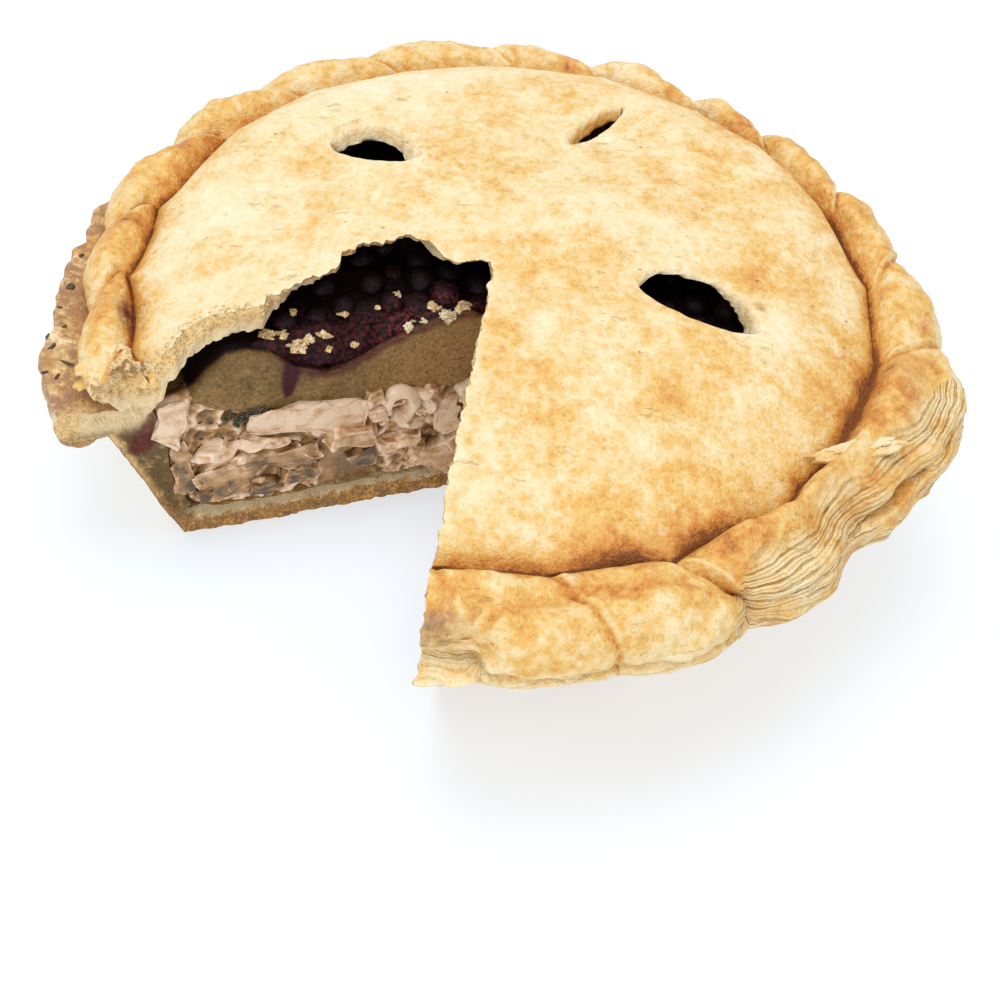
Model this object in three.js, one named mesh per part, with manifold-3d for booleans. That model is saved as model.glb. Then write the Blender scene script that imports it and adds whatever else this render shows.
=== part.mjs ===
// A deep, round, double-crust turkey pie with one slice taken out.
// Millimetres, +Z up. The pie is drawn about the axis of its rim, with the underside of the base at z 0 and the cut
// facing -Y, and is then moved so that the origin is the middle of its box. Angles run anticlockwise from +X.
import * as THREE from "three";
import { mergeVertices } from "three/addons/utils/BufferGeometryUtils.js";
import Module from "manifold-3d";

const wasm = await Module();
wasm.setup();

// Overall sizes
const BASE_RADIUS = 89; // underside of the pie
const BASE_SLIP = new THREE.Vector2(-5.5, 4); // the base has slumped this far off the rim's axis
const BOX_MIDDLE = new THREE.Vector2(2.8, 0.9); // middle of the uneven rim's box, from its axis
const WALL_TOP = { r: 111.5, z: 43 }; // where the flared wall meets the rim
const RIM_LOW = 50; // lowest edge of the rim
const RIM_TIP = 55; // height of the rim's outermost edge
const VALLEY = { r: 104, z: 63 }; // groove between the rim and the domed lid
const DOME_SHIFT = new THREE.Vector2(0.8, 4.6); // the dome sits this far off the rim's axis, so the rim is broadest in front
const CREST = { r: 112.5, z: 66, rise: 3.8 }; // ridge of the crimped edge at a pinch, and its rise at a flute
const LID_TOP = 82; // top of the dome
const CASE_FLOOR = 8.8; // thickness of the bottom crust
const LID_THICK = 7; // thickness of the lid
const SEAM = { r: 100, z: 52.2, slope: 0.31 }; // the cone on which the lid lies on the case's flange
const GAP = 0.4; // clearance between neighbouring pieces

// The dome is a soft-shouldered cap, flat on top and steep beside the valley.
const DOME = { flat: 2.6, shoulder: 0.75 };

// The crimped edge: each row is a finger pinch, in degrees, and how far the flute after it reaches from the axis.
const FLUTES = [
  [271, 124.5], [287, 125], [305, 124], [325, 125.5], [343, 132.5], [361, 123], [379, 123], [396, 123.5],
  [413, 123], [426, 127], [443, 128.5], [458, 130], [477, 128], [494, 127], [510, 127.5], [530, 124], [547, 126.5],
  [564, 127], [582, 126], [600, 126], [616, 127],
];
const PINCH_DEPTH = 6; // how far a pinch is pushed in from its flute
const PINCH_WIDTH = 0.55; // below 1 the flutes are full and the pinches narrow
const CRIMP_INSET = 3; // the lid's crimp ends this far inside the case's flange
const LEFT_LIP = { at: 176, spread: 42, inset: 4.5 }; // there the flange shows outside the crimp
const DROOP = { from: 188, to: 204, drop: 5.5, out: 0.5 }; // the flange sags where it broke beside the left cut
const TWIST = -7; // degrees that each pinch leans between the crimp's inner and outer edge

// The slice that is missing: the knife's two cuts start at a point close to the axis.
const CUT_POINT = new THREE.Vector2(-3, -4);
const CUT_LEFT = 201;
const CUT_RIGHT = 265;
const CUT_REACH = 190;

// Where the lid broke away behind the left cut: distances along the cut, and how far back each bite goes.
const BITES = [
  { from: -8, to: 16, back: 4.5 },
  { from: 7, to: 41, back: 17.8 },
  { from: 34, to: 66, back: 9.5 },
  { from: 56, to: 95, back: 7.5 },
];
const JAG = { step: 3.2, size: 1.1 }; // crumbly unevenness of that broken edge

// Steam vents: leaf-shaped slits through the lid. over and under are how far the two sides bulge.
const VENTS = [
  { at: [49.5, -7.5], length: 37, over: 11.5, under: 4.5, turn: -20 },
  { at: [-40.5, 51.5], length: 29, over: 12.5, under: 4, turn: -14 },
  { at: [21.5, 72], length: 33, over: 4.5, under: 4, turn: 58 },
];

// Filling: heights of the layers at the axis, and the pieces that show in them.
const TURKEY_TOP = 41;
const STUFFING_TOP = 57;
const FRUIT_TOP = 65.5;
const BERRY_RADIUS = 4.6;
const BERRY_SUNK = 1.5; // how far a berry's middle lies below the layer's top
const BERRY_SPREAD = 54; // berries lie within this radius
const BERRY_COUNT = 64; // spread over the whole layer; only those near the cut and the vents are kept
const BERRY_VIEW = 14; // how near to a cut or a vent a berry has to be
const CHUNK = { width: 17, height: 12.5, depth: 15, recess: 4 }; // a cube of turkey, and how deep the gravy lies between
const SLAB = { along: 52, z: 33, width: 38, height: 11, lean: 8 }; // the one large slice in the left cut

const RIM_SEGMENTS = 114;
const FILLING_SEGMENTS = 52;

const rad = THREE.MathUtils.degToRad;
const heading = (deg) => new THREE.Vector2(Math.cos(rad(deg)), Math.sin(rad(deg)));
const smooth = (x, low, high) => THREE.MathUtils.smoothstep(x, low, high);

// Seeded random numbers from 0 to 1, the same on every run.
function randomFrom(seed) {
  let state = seed;
  return () => {
    state = (state + 0x6d2b79f5) | 0;
    let t = Math.imul(state ^ (state >>> 15), 1 | state);
    t = (t + Math.imul(t ^ (t >>> 7), 61 | t)) ^ t;
    return ((t ^ (t >>> 14)) >>> 0) / 4294967296;
  };
}

// A closed geometry as a solid for cutting and joining.
function solidOf(geometry) {
  const bare = geometry.clone();
  bare.deleteAttribute("normal");
  bare.deleteAttribute("uv");
  const merged = mergeVertices(bare, 1e-4);
  const corners = merged.index.array;
  const kept = [];
  for (let i = 0; i < corners.length; i += 3) {
    const [a, b, c] = [corners[i], corners[i + 1], corners[i + 2]];
    if (a !== b && b !== c && c !== a) kept.push(a, b, c);
  }
  const vertProperties = merged.attributes.position.array;
  return new wasm.Manifold(new wasm.Mesh({ numProp: 3, vertProperties, triVerts: new Uint32Array(kept) }));
}

// The solid's triangles as a geometry again.
function geometryOf(solid) {
  const mesh = solid.getMesh();
  return new THREE.BufferGeometry()
    .setAttribute("position", new THREE.BufferAttribute(mesh.vertProperties, 3))
    .setIndex(new THREE.BufferAttribute(mesh.triVerts, 1));
}

const union = (solids) => solids.reduce((whole, next) => whole.add(next));

// Where on the crimped edge an angle falls: the flute's reach there, and its lobe, 0 at a pinch and 1 on a flute.
function fluteAt(deg) {
  const first = FLUTES[0][0];
  const turn = first + THREE.MathUtils.euclideanModulo(deg - first, 360);
  const last = FLUTES.length - 1;
  const i = FLUTES.findLastIndex(([pinch]) => pinch <= turn);
  const from = FLUTES[i][0];
  const to = i === last ? first + 360 : FLUTES[i + 1][0];
  const along = (turn - from) / (to - from);
  const before = FLUTES[i === 0 ? last : i - 1][1];
  const after = FLUTES[i === last ? 0 : i + 1][1];
  const mid = FLUTES[i][1];
  const reach = along < 0.5 ? (before + mid) / 2 + along * (mid - before) : mid + (along - 0.5) * (after - mid);
  return { reach, lobe: Math.sin(Math.PI * along) ** PINCH_WIDTH };
}

// How much the flange shows outside the crimp at an angle: 1 at the left lip, 0 elsewhere.
function lipAt(deg) {
  const off = Math.abs(THREE.MathUtils.euclideanModulo(deg - LEFT_LIP.at + 180, 360) - 180);
  return 1 - smooth(off, LEFT_LIP.spread * 0.5, LEFT_LIP.spread);
}

// A profile of [r, z] points turned about the axis. Each point may carry a function that moves it by the angle.
// The base's slip fades out towards the top of the wall.
function turned(profile, segments) {
  const points = profile.map(([r, z]) => new THREE.Vector2(r, z));
  const geometry = new THREE.LatheGeometry(points, segments).rotateX(Math.PI / 2);
  const position = geometry.attributes.position;
  for (let i = 0; i < position.count; i++) {
    const deg = (Math.floor(i / profile.length) * 360) / segments;
    const [r, z, move] = profile[i % profile.length];
    const [movedR, movedZ] = move ? move(deg, r, z) : [r, z];
    const slip = 1 - smooth(movedZ, 0, WALL_TOP.z);
    const place = heading(deg).multiplyScalar(movedR).addScaledVector(BASE_SLIP, slip);
    position.setXYZ(i, place.x, place.y, movedZ);
  }
  return solidOf(geometry);
}

const domeZ = (r) =>
  VALLEY.z + (LID_TOP - VALLEY.z) * (1 - Math.min(r / VALLEY.r, 1) ** DOME.flat) ** DOME.shoulder;

const seamZ = (r) => SEAM.z + SEAM.slope * (r - SEAM.r);

// The outer edge of the case's flange, softly fluted. Its top lies on the seam.
const flangeEdge = (inset, height) => (deg) => {
  const { reach, lobe } = fluteAt(deg);
  const depth = PINCH_DEPTH * (1 - 0.6 * lipAt(deg));
  const sag = smooth(deg, DROOP.from, DROOP.to) * (1 - smooth(deg, DROOP.to, DROOP.to + 30));
  const r = reach - depth * (1 - lobe) - inset + DROOP.out * sag;
  return [r, height(r) - DROOP.drop * sag];
};

// The crimp of the lid: u runs from the valley, 0, to the outer edge, 1.
const crimp = (u, height) => (deg) => {
  const { reach, lobe } = fluteAt(deg - TWIST * (1 - u));
  const edge = reach - CRIMP_INSET - LEFT_LIP.inset * lipAt(deg) - PINCH_DEPTH * (1 - lobe);
  const valley = VALLEY.r + DOME_SHIFT.dot(heading(deg));
  const r = valley + (edge - valley) * u;
  return [r, height(lobe, r)];
};

// The dome's rings are shifted more the nearer they are to the valley.
const domed = (deg, r, z) => [r + DOME_SHIFT.dot(heading(deg)) * (r / VALLEY.r) ** 3, z];

// The knife's cut as a tall prism that is taken out. leftEdge gives the points of the left side, from the point outwards.
function cutter(point, leftEdge) {
  const far = point.clone().addScaledVector(heading((CUT_LEFT + CUT_RIGHT) / 2), CUT_REACH * 1.4);
  const right = point.clone().addScaledVector(heading(CUT_RIGHT), CUT_REACH);
  const outline = new THREE.Shape([point, ...leftEdge, far, right]);
  return solidOf(new THREE.ExtrudeGeometry(outline, { depth: 120, bevelEnabled: false }).translate(0, 0, -10));
}

const straightEdge = (point) => [point.clone().addScaledVector(heading(CUT_LEFT), CUT_REACH)];

function sliceCut(recess = 0) {
  const halfAngle = rad((CUT_RIGHT - CUT_LEFT) / 2);
  const inward = heading((CUT_LEFT + CUT_RIGHT) / 2).multiplyScalar(-recess / Math.sin(halfAngle));
  const point = CUT_POINT.clone().add(inward);
  return cutter(point, straightEdge(point));
}

// How far behind the knife's left cut the lid's edge lies, at a distance along the cut.
function brokenBack(along) {
  const bite = ({ from, to, back }) => back * smooth(along, from, from + 8) * (1 - smooth(along, to - 8, to));
  return Math.max(...BITES.map(bite));
}

function lidCut() {
  const random = randomFrom(5);
  const out = heading(CUT_LEFT);
  const behind = heading(CUT_LEFT - 90);
  const edge = [];
  const end = BITES[BITES.length - 1].to;
  for (let along = JAG.step; along < end; along += JAG.step) {
    const back = brokenBack(along) + JAG.size * (2 * random() - 1);
    edge.push(CUT_POINT.clone().addScaledVector(out, along).addScaledVector(behind, Math.max(back, 0)));
  }
  return cutter(CUT_POINT, [...edge, ...straightEdge(CUT_POINT)]);
}

// A leaf-shaped slit, through the lid.
function ventCut({ at, length, over, under, turn }) {
  const half = length / 2;
  const leaf = new THREE.Shape()
    .moveTo(-half, 0)
    .bezierCurveTo(-half * 0.75, -under * 1.33, half * 0.75, -under * 1.33, half, 0)
    .bezierCurveTo(half * 0.75, over * 1.33, -half * 0.75, over * 1.33, -half, 0);
  const tool = new THREE.ExtrudeGeometry(leaf, { depth: 60, bevelEnabled: false, curveSegments: 7 });
  return solidOf(tool.rotateZ(rad(turn)).translate(at[0], at[1], LID_TOP - 40));
}

// Bottom crust: floor, flared wall and the flange under the crimp, as one piece of pastry.
function pastryCase() {
  const profile = [
    [0, 0],
    [BASE_RADIUS - 1, 0],
    [BASE_RADIUS + 0.4, 1.2],
    [(BASE_RADIUS + WALL_TOP.r) / 2, WALL_TOP.z / 2],
    [WALL_TOP.r, WALL_TOP.z],
    [CREST.r + 4, RIM_LOW - 3.5],
    [0, 0, flangeEdge(1.5, () => RIM_LOW)],
    [0, 0, flangeEdge(0, () => RIM_TIP)],
    [0, 0, flangeEdge(2, seamZ)],
    [SEAM.r, SEAM.z],
    [97.5, 47],
    [94, 26],
    [87, 11],
    [78, CASE_FLOOR],
    [0, CASE_FLOOR],
  ];
  return turned(profile, RIM_SEGMENTS).subtract(sliceCut());
}

// Lid: the dome, the crimped edge and the underside, with its vents and its broken edge.
function pastryLid() {
  const domeRadii = [30, 54, 73, 86, 95, 100.5];
  const dome = domeRadii.map((r) => [r, domeZ(r), domed]);
  const underside = domeRadii.slice(0, -1);
  const foot = [SEAM.r + 0.5, seamZ(SEAM.r + 0.5) + GAP];
  const profile = [
    foot,
    [0, 0, crimp(0.9, (lobe, r) => seamZ(r) + GAP)],
    [0, 0, crimp(1, (lobe, r) => seamZ(r) + GAP + 3 + lobe)],
    [0, 0, crimp(0.82, (lobe) => CREST.z - 1.5 + (CREST.rise - 0.5) * lobe)],
    [0, 0, crimp(0.5, (lobe) => CREST.z + CREST.rise * lobe)],
    [0, 0, crimp(0.22, (lobe) => CREST.z - 1 + (CREST.rise - 1.5) * lobe)],
    [VALLEY.r, VALLEY.z, domed],
    ...dome.reverse(),
    [0, LID_TOP],
    [0, LID_TOP - LID_THICK],
    ...underside.map((r) => [r - 0.5, domeZ(r) - LID_THICK]),
    foot,
  ];
  const lid = turned(profile, RIM_SEGMENTS).subtract(lidCut());
  return VENTS.reduce((cut, vent) => cut.subtract(ventCut(vent)), lid);
}

// The layers of filling share these two uneven boundaries.
const lumps = (deg, r) => 0.9 * Math.sin(rad(3 * deg + 40)) * Math.sin(r / 17) + 0.6 * Math.sin(rad(7 * deg)) * (r / 90);
const uneven = (deg, r, z) => [r, z + lumps(deg, r)];
const turkeyTop = (gap) =>
  [[0, TURKEY_TOP], [45, TURKEY_TOP + 0.5], [70, TURKEY_TOP + 2], [82, TURKEY_TOP + 6], [88.5, TURKEY_TOP + 10.5]].map(
    ([r, z]) => [r, z + gap, r > 0 ? uneven : undefined],
  );
const stuffingTop = (gap) =>
  [[0, STUFFING_TOP], [40, STUFFING_TOP - 0.5], [60, STUFFING_TOP + 1.5], [72, STUFFING_TOP + 4.8]].map(
    ([r, z]) => [r, z + gap, r > 0 ? uneven : undefined],
  );

// A rounded block of meat, standing in a cut: along the cut, inwards from it and up.
function meatBlock(cutDeg, inwardDeg, along, inward, z, size, lean) {
  const block = new THREE.IcosahedronGeometry(1, 1);
  const position = block.attributes.position;
  const boxy = (v) => Math.sign(v) * Math.abs(v) ** 0.62;
  for (let i = 0; i < position.count; i++) {
    position.setXYZ(i, boxy(position.getX(i)), boxy(position.getY(i)), boxy(position.getZ(i)));
  }
  block.scale(size.width / 2, size.depth / 2, size.height / 2).rotateY(rad(lean)).rotateZ(rad(cutDeg));
  const place = CUT_POINT.clone().addScaledVector(heading(cutDeg), along).addScaledVector(heading(inwardDeg), inward);
  return solidOf(block.translate(place.x, place.y, z));
}

// Two rows of blocks along each cut, with the large slice in the left one.
function meatBlocks() {
  const random = randomFrom(11);
  const spread = (size, share) => size * (1 + share * (2 * random() - 1));
  const blocks = [];
  for (const [cutDeg, inwardDeg] of [[CUT_LEFT, CUT_LEFT - 90], [CUT_RIGHT, CUT_RIGHT + 90]]) {
    for (const row of [0, 1]) {
      const z = CASE_FLOOR + CHUNK.height * (0.62 + 1.06 * row);
      for (let along = 10 + 8 * row; along < 88; ) {
        const size = { width: spread(CHUNK.width, 0.3), height: spread(CHUNK.height, 0.18), depth: CHUNK.depth };
        const inSlab = row === 1 && cutDeg === CUT_LEFT && Math.abs(along - SLAB.along) < SLAB.width / 2;
        if (!inSlab) {
          blocks.push(meatBlock(cutDeg, inwardDeg, along, CHUNK.recess + 2, z, size, 24 * (random() - 0.5)));
        }
        along += size.width * 1.08;
      }
    }
  }
  const slab = { width: SLAB.width, height: SLAB.height, depth: CHUNK.depth };
  blocks.push(meatBlock(CUT_LEFT, CUT_LEFT - 90, SLAB.along, CHUNK.recess + 2, SLAB.z, slab, SLAB.lean));
  return union(blocks);
}

// Turkey in gravy: a core that is set back at the cuts, with the pieces of meat standing out of it.
function turkeyFilling() {
  const profile = [
    [0, CASE_FLOOR + GAP],
    [77.8, CASE_FLOOR + GAP],
    [86.6, 11.4],
    [93.5, 26.1],
    [97, 47],
    [95.5, TURKEY_TOP + 9.5],
    ...turkeyTop(0).reverse(),
  ];
  const whole = turned(profile, FILLING_SEGMENTS);
  const core = whole.subtract(sliceCut(CHUNK.recess));
  return core.add(meatBlocks().intersect(whole.subtract(sliceCut())));
}

// Stuffing: a smooth, dense layer on the turkey.
function stuffingLayer() {
  const profile = [
    ...turkeyTop(GAP),
    [89, 56],
    [84, STUFFING_TOP + 5.5],
    ...stuffingTop(0).reverse(),
  ];
  return turned(profile, FILLING_SEGMENTS).subtract(sliceCut());
}

// How near a point lies to a cut or to a vent, where the fruit can be seen.
function nearestView(place) {
  const edges = [CUT_LEFT, CUT_RIGHT].map((deg) => {
    const along = Math.max(place.clone().sub(CUT_POINT).dot(heading(deg)), 0);
    return place.distanceTo(CUT_POINT.clone().addScaledVector(heading(deg), along));
  });
  const vents = VENTS.map(({ at, length }) => place.distanceTo(new THREE.Vector2(...at)) - length / 4);
  return Math.min(...edges, ...vents);
}

// Cranberry layer: a core of cooked fruit with whole berries in its top, spread by the golden angle.
function fruitLayer() {
  const profile = [
    ...stuffingTop(GAP),
    [70, FRUIT_TOP - 0.5, uneven],
    [56, FRUIT_TOP + 0.3, uneven],
    [36, FRUIT_TOP - 0.9, uneven],
    [18, FRUIT_TOP + 0.2, uneven],
    [0, FRUIT_TOP],
  ];
  const core = turned(profile, FILLING_SEGMENTS);
  const random = randomFrom(3);
  const berries = [];
  for (let i = 1; i < BERRY_COUNT; i++) {
    const place = heading(i * 137.508).multiplyScalar(BERRY_SPREAD * Math.sqrt(i / BERRY_COUNT));
    const size = BERRY_RADIUS * (0.85 + 0.3 * random());
    if (nearestView(place) < BERRY_VIEW) {
      const berry = new THREE.SphereGeometry(size, 7, 4).rotateX(random()).rotateZ(6 * random());
      berries.push(solidOf(berry.translate(place.x, place.y, FRUIT_TOP - BERRY_SUNK)));
    }
  }
  return core.add(union(berries)).subtract(sliceCut());
}

const pastry = (colour) => new THREE.MeshStandardMaterial({ color: colour, roughness: 0.75, metalness: 0 });
const moist = (colour, roughness) => new THREE.MeshStandardMaterial({ color: colour, roughness, metalness: 0 });

const pie = new THREE.Group();
function piece(name, solid, material) {
  const mesh = new THREE.Mesh(geometryOf(solid).translate(-BOX_MIDDLE.x, -BOX_MIDDLE.y, 0), material);
  mesh.name = name;
  pie.add(mesh);
}

piece("pastry_case", pastryCase(), pastry("#d9aa66"));
piece("pastry_lid", pastryLid(), pastry("#e6bf80"));
piece("turkey_filling", turkeyFilling(), moist("#c2a48c", 0.45));
piece("stuffing_layer", stuffingLayer(), moist("#938260", 0.6));
piece("cranberry_layer", fruitLayer(), moist("#4b1420", 0.3));

export default pie;
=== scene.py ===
import bisect
import math
import random

import bmesh
import bpy
from bpy.props import FloatProperty, FloatVectorProperty, PointerProperty
from mathutils import Matrix, Vector, noise


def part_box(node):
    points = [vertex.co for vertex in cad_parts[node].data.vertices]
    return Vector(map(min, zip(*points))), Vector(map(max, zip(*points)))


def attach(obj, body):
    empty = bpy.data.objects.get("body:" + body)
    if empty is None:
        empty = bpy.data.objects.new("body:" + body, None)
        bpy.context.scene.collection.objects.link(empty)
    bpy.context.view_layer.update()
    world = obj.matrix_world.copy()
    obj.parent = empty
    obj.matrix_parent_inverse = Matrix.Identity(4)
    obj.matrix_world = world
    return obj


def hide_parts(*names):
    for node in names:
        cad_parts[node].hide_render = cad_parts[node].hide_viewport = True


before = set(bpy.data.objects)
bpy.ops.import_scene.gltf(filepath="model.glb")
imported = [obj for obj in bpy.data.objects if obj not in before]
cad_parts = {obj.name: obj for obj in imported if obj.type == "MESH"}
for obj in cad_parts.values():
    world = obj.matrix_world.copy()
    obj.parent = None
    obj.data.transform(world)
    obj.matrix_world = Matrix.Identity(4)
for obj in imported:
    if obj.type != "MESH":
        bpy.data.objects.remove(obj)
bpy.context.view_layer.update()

bl_info = {
    "name": "Turkey Pie",
    "version": (1, 0, 0),
    "blender": (4, 5, 0),
    "location": "View3D > Sidebar > Pie",
    "description": "Builds a cut turkey pie with stuffing and cranberries on its packed frame",
    "category": "Mesh",
}

# The rim's axis stands here in the frame, and every shape is drawn about it in millimetres
AXIS = Vector((-2.8, -0.9, 0.0))
TO_FRAME = Matrix.Scale(0.001, 4) @ Matrix.Translation(AXIS)

# Where each pinch of the rim is, in degrees, how far the flute after it reaches, and how hard it was pressed
FLUTES = (
    (271, 124.5, 0.45), (287, 125.0, 0.5), (305, 124.0, 1.1), (325, 123.0, 0.8), (338, 131.5, 0.3),
    (361, 124.5, 0.5), (379, 123.5, 0.5), (396, 123.5, 0.55), (413, 123.5, 0.8), (426, 127.0, 1.2),
    (443, 128.5, 1.35), (458, 130.0, 0.55), (477, 128.0, 0.8), (494, 127.0, 0.9), (510, 127.5, 1.1),
    (530, 124.0, 1.0), (547, 126.5, 0.9), (564, 127.0, 0.9), (582, 126.0, 0.8), (600, 126.0, 0.8),
    (616, 127.0, 0.8),
)
PINCHES = [flute[0] for flute in FLUTES]

# How far the lid's roll hangs down over the flange, from 0 to 1, by bearing
COVER = (
    (0, 0.6), (20, 0.85), (140, 0.75), (158, 0.3), (172, 0.0), (206, 0.0), (225, 0.8), (260, 1.0),
    (300, 1.0), (308, 0.3), (322, 0.3), (327, 0.0), (337, 0.0), (346, 0.4), (360, 0.6),
)

# The knife's two faces meet here, and these are their directions in degrees
CUT_POINT = Vector((-3.0, -4.0, 0.0))
CUT_LEFT = 201.0
CUT_RIGHT = 265.0

# How far the knife faces are drawn finely, and how far they reach
FACE_FINE = 136.0
FACE_REACH = 190.0

# Millimetres of rim to a degree, and the rim's roll: its radius, the height of its middle, where it begins
RIM_ARC = 2.05
ROLL_RADIUS = 11.0
ROLL_HEIGHT = 56.5
ROLL_START = 104.5

# The radius at which the pastry's sheets are measured round the rim
SHEET_RADIUS = 120.0

# The seam between case and lid: where it starts, its slope, its height at the rim, the lid's side of it
SEAM_RADIUS = 100.0
SEAM_HEIGHT = 52.2
SEAM_SLOPE = 0.31
SEAM_EDGE = 58.4
LID_SEAM = 100.5

# How far the base and the valley stand off the rim's axis
BASE_SHIFT = Vector((-5.5, 4.0, 0.0))
VALLEY_SHIFT = Vector((0.8, 4.6, 0.0))

# Steps round the pastry, and how often each is divided at the crimp and elsewhere
ROUND_STEPS = 66
CRIMP_CUTS = 17
PLAIN_CUTS = 4

# Points on each side of a vent's outline, and the steps by which its cutter rises
VENT_POINTS = 48
VENT_LOW = 50.0
VENT_STEP = 0.8
VENT_STEPS = 46

# How many small things are strewn, and how often a free place for a berry is looked for
SHREDS = 30
BERRIES = 100
BERRY_TRIES = 4000
EDGE_CRUMBS = 110
CLUSTER_HERBS = 70
MEAT_HERBS = 60
STUFFING_HERBS = 18

# How far behind the left cut the lid's skin broke away, by distance from the point of the cut
BROKEN = (
    (0, 3.0), (3, 4.5), (9, 4.6), (11.5, 7.0), (14, 15.0), (19, 18.0), (35, 17.7), (38, 16.0),
    (40, 12.5), (43, 10.2), (52, 9.5), (60, 7.4), (63, 4.4), (65.5, 5.5), (68, 7.0), (78, 8.3),
    (84, 6.6), (90, 2.8), (96, 0.0),
)

# How far the lower edge of the break stands out in front of the skin
SLANT = ((56, 0.0), (62, 1.2), (72, 1.8), (79, 3.4), (85, 4.6), (90, 5.4), (97, 5.0), (106, 0.5))

# How far the lower edge of the break lies behind the skin, hidden from above
UNDERCUT = ((0, 8.5), (10, 9.0), (14, 10.0), (38, 9.0), (52, 5.0), (58, 2.0), (62, 0.0))

# How dark the bottom of the valley baked, by bearing
VALLEY_DARK = (
    (0, 0.9), (25, 0.6), (50, 0.25), (150, 0.3), (180, 0.7), (200, 0.6), (254, 0.3), (262, 0.5),
    (270, 0.15), (275, 0.8), (280, 0.6), (284, 0.1), (288, 0.8), (300, 0.7), (306, 0.4), (312, 0.8),
    (335, 1.0), (360, 0.9),
)

# Steam vents: middle, length, far and near depth, turn, wall shown, more of it at the right, left point
VENTS = (
    (Vector((53.0, -8.6, 0.0)), 34.5, 12.5, 6.0, -21.0, 2.3, 1.2, 0.45),
    (Vector((-41.0, 49.0, 0.0)), 26.5, 13.5, 5.5, -18.0, 4.6, 0.15, 0.85),
    (Vector((23.0, 71.0, 0.0)), 28.0, 4.2, 3.4, 56.0, 4.4, 0.0, 1.0),
)

# Juice that baked onto the crust: where the long streak of it is, and the spots as x, y and size
SEEP_BEARING = 189.8
SEEP_RADIUS = 102.8
SEEPS = ((106.0, -17.8, 1.6), (94.0, -43.0, 1.8), (70.0, -5.0, 1.4))

# Height of the stuffing where the left cut shows it, by distance from the point of the cut
STUFFING_EDGE = (
    (0, 66.0), (7, 66.5), (19, 64.5), (27, 61.0), (35, 57.0), (43, 52.5), (50, 53.5), (55, 58.0), (62, 62.5),
    (68, 64.5), (74, 64.0), (79, 59.0), (84, 54.0), (90, 52.0),
)


def clamp(value):
    return min(max(value, 0.0), 1.0)


def smooth(value, low, high):
    """Eased share, from 0 to 1, of the way from low to high."""
    share = clamp((value - low) / (high - low))
    return share * share * (3.0 - 2.0 * share)


def stretch(value, start, full, fade, end):
    """Share that rises from start to full, and falls again from fade to end."""
    return smooth(value, start, full) * (1.0 - smooth(value, fade, end))


def hump(value, middle, width):
    """1 at the middle, falling off smoothly over the width on both sides."""
    return math.exp(-((value - middle) / width) ** 2)


def heading(degrees):
    """The level direction at a bearing."""
    turn = math.radians(degrees)
    return Vector((math.cos(turn), math.sin(turn), 0.0))


def bearing(place):
    return math.degrees(math.atan2(place.y, place.x)) % 360.0


def polar(degrees, radius, height):
    """The place at a bearing, a distance from the axis and a height."""
    return heading(degrees) * radius + Vector((0, 0, height))


def grain(place, size, seed):
    """Even noise, about -1 to 1, with lumps of about that size in millimetres."""
    return noise.noise(place / size + Vector((seed, 1.7 * seed, -2.3 * seed)))


def grains(place, *parts):
    """A sum of noises, each given by its strength, size and seed."""
    return sum(strength * grain(place, size, seed) for strength, size, seed in parts)


def drift(place, size, *seeds):
    """A push in three directions, with a seed for each."""
    return Vector([grain(place, size, seed) for seed in seeds])


def between(table, value):
    """Value of a table of (position, value) pairs at a position."""
    if value <= table[0][0]:
        return table[0][1]
    for (low, first), (high, second) in zip(table, table[1:]):
        if value <= high:
            return first + (second - first) * smooth(value, low, high)
    return table[-1][1]


def curve_through(points, counts):
    """Points on a smooth curve through the given ones, with so many steps in each stretch."""
    ends = [points[0], *points, points[-1]]
    made = [points[0]]
    for start, count in enumerate(counts):
        a, b, c, d = ends[start:start + 4]
        for step in range(1, count + 1):
            t = step / count
            place = []
            for p, q, r, s in zip(a, b, c, d):
                bend = (2 * p - 5 * q + 4 * r - s) * t * t
                place.append(0.5 * (2 * q + (r - p) * t + bend + (3 * q - p - 3 * r + s) * t ** 3))
            made.append(tuple(place))
    return made


def ramp_list(first, last, step):
    """Even steps from first to last, each about as long as step."""
    count = max(1, round((last - first) / step))
    return [first + (last - first) * n / count for n in range(count + 1)]


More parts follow.
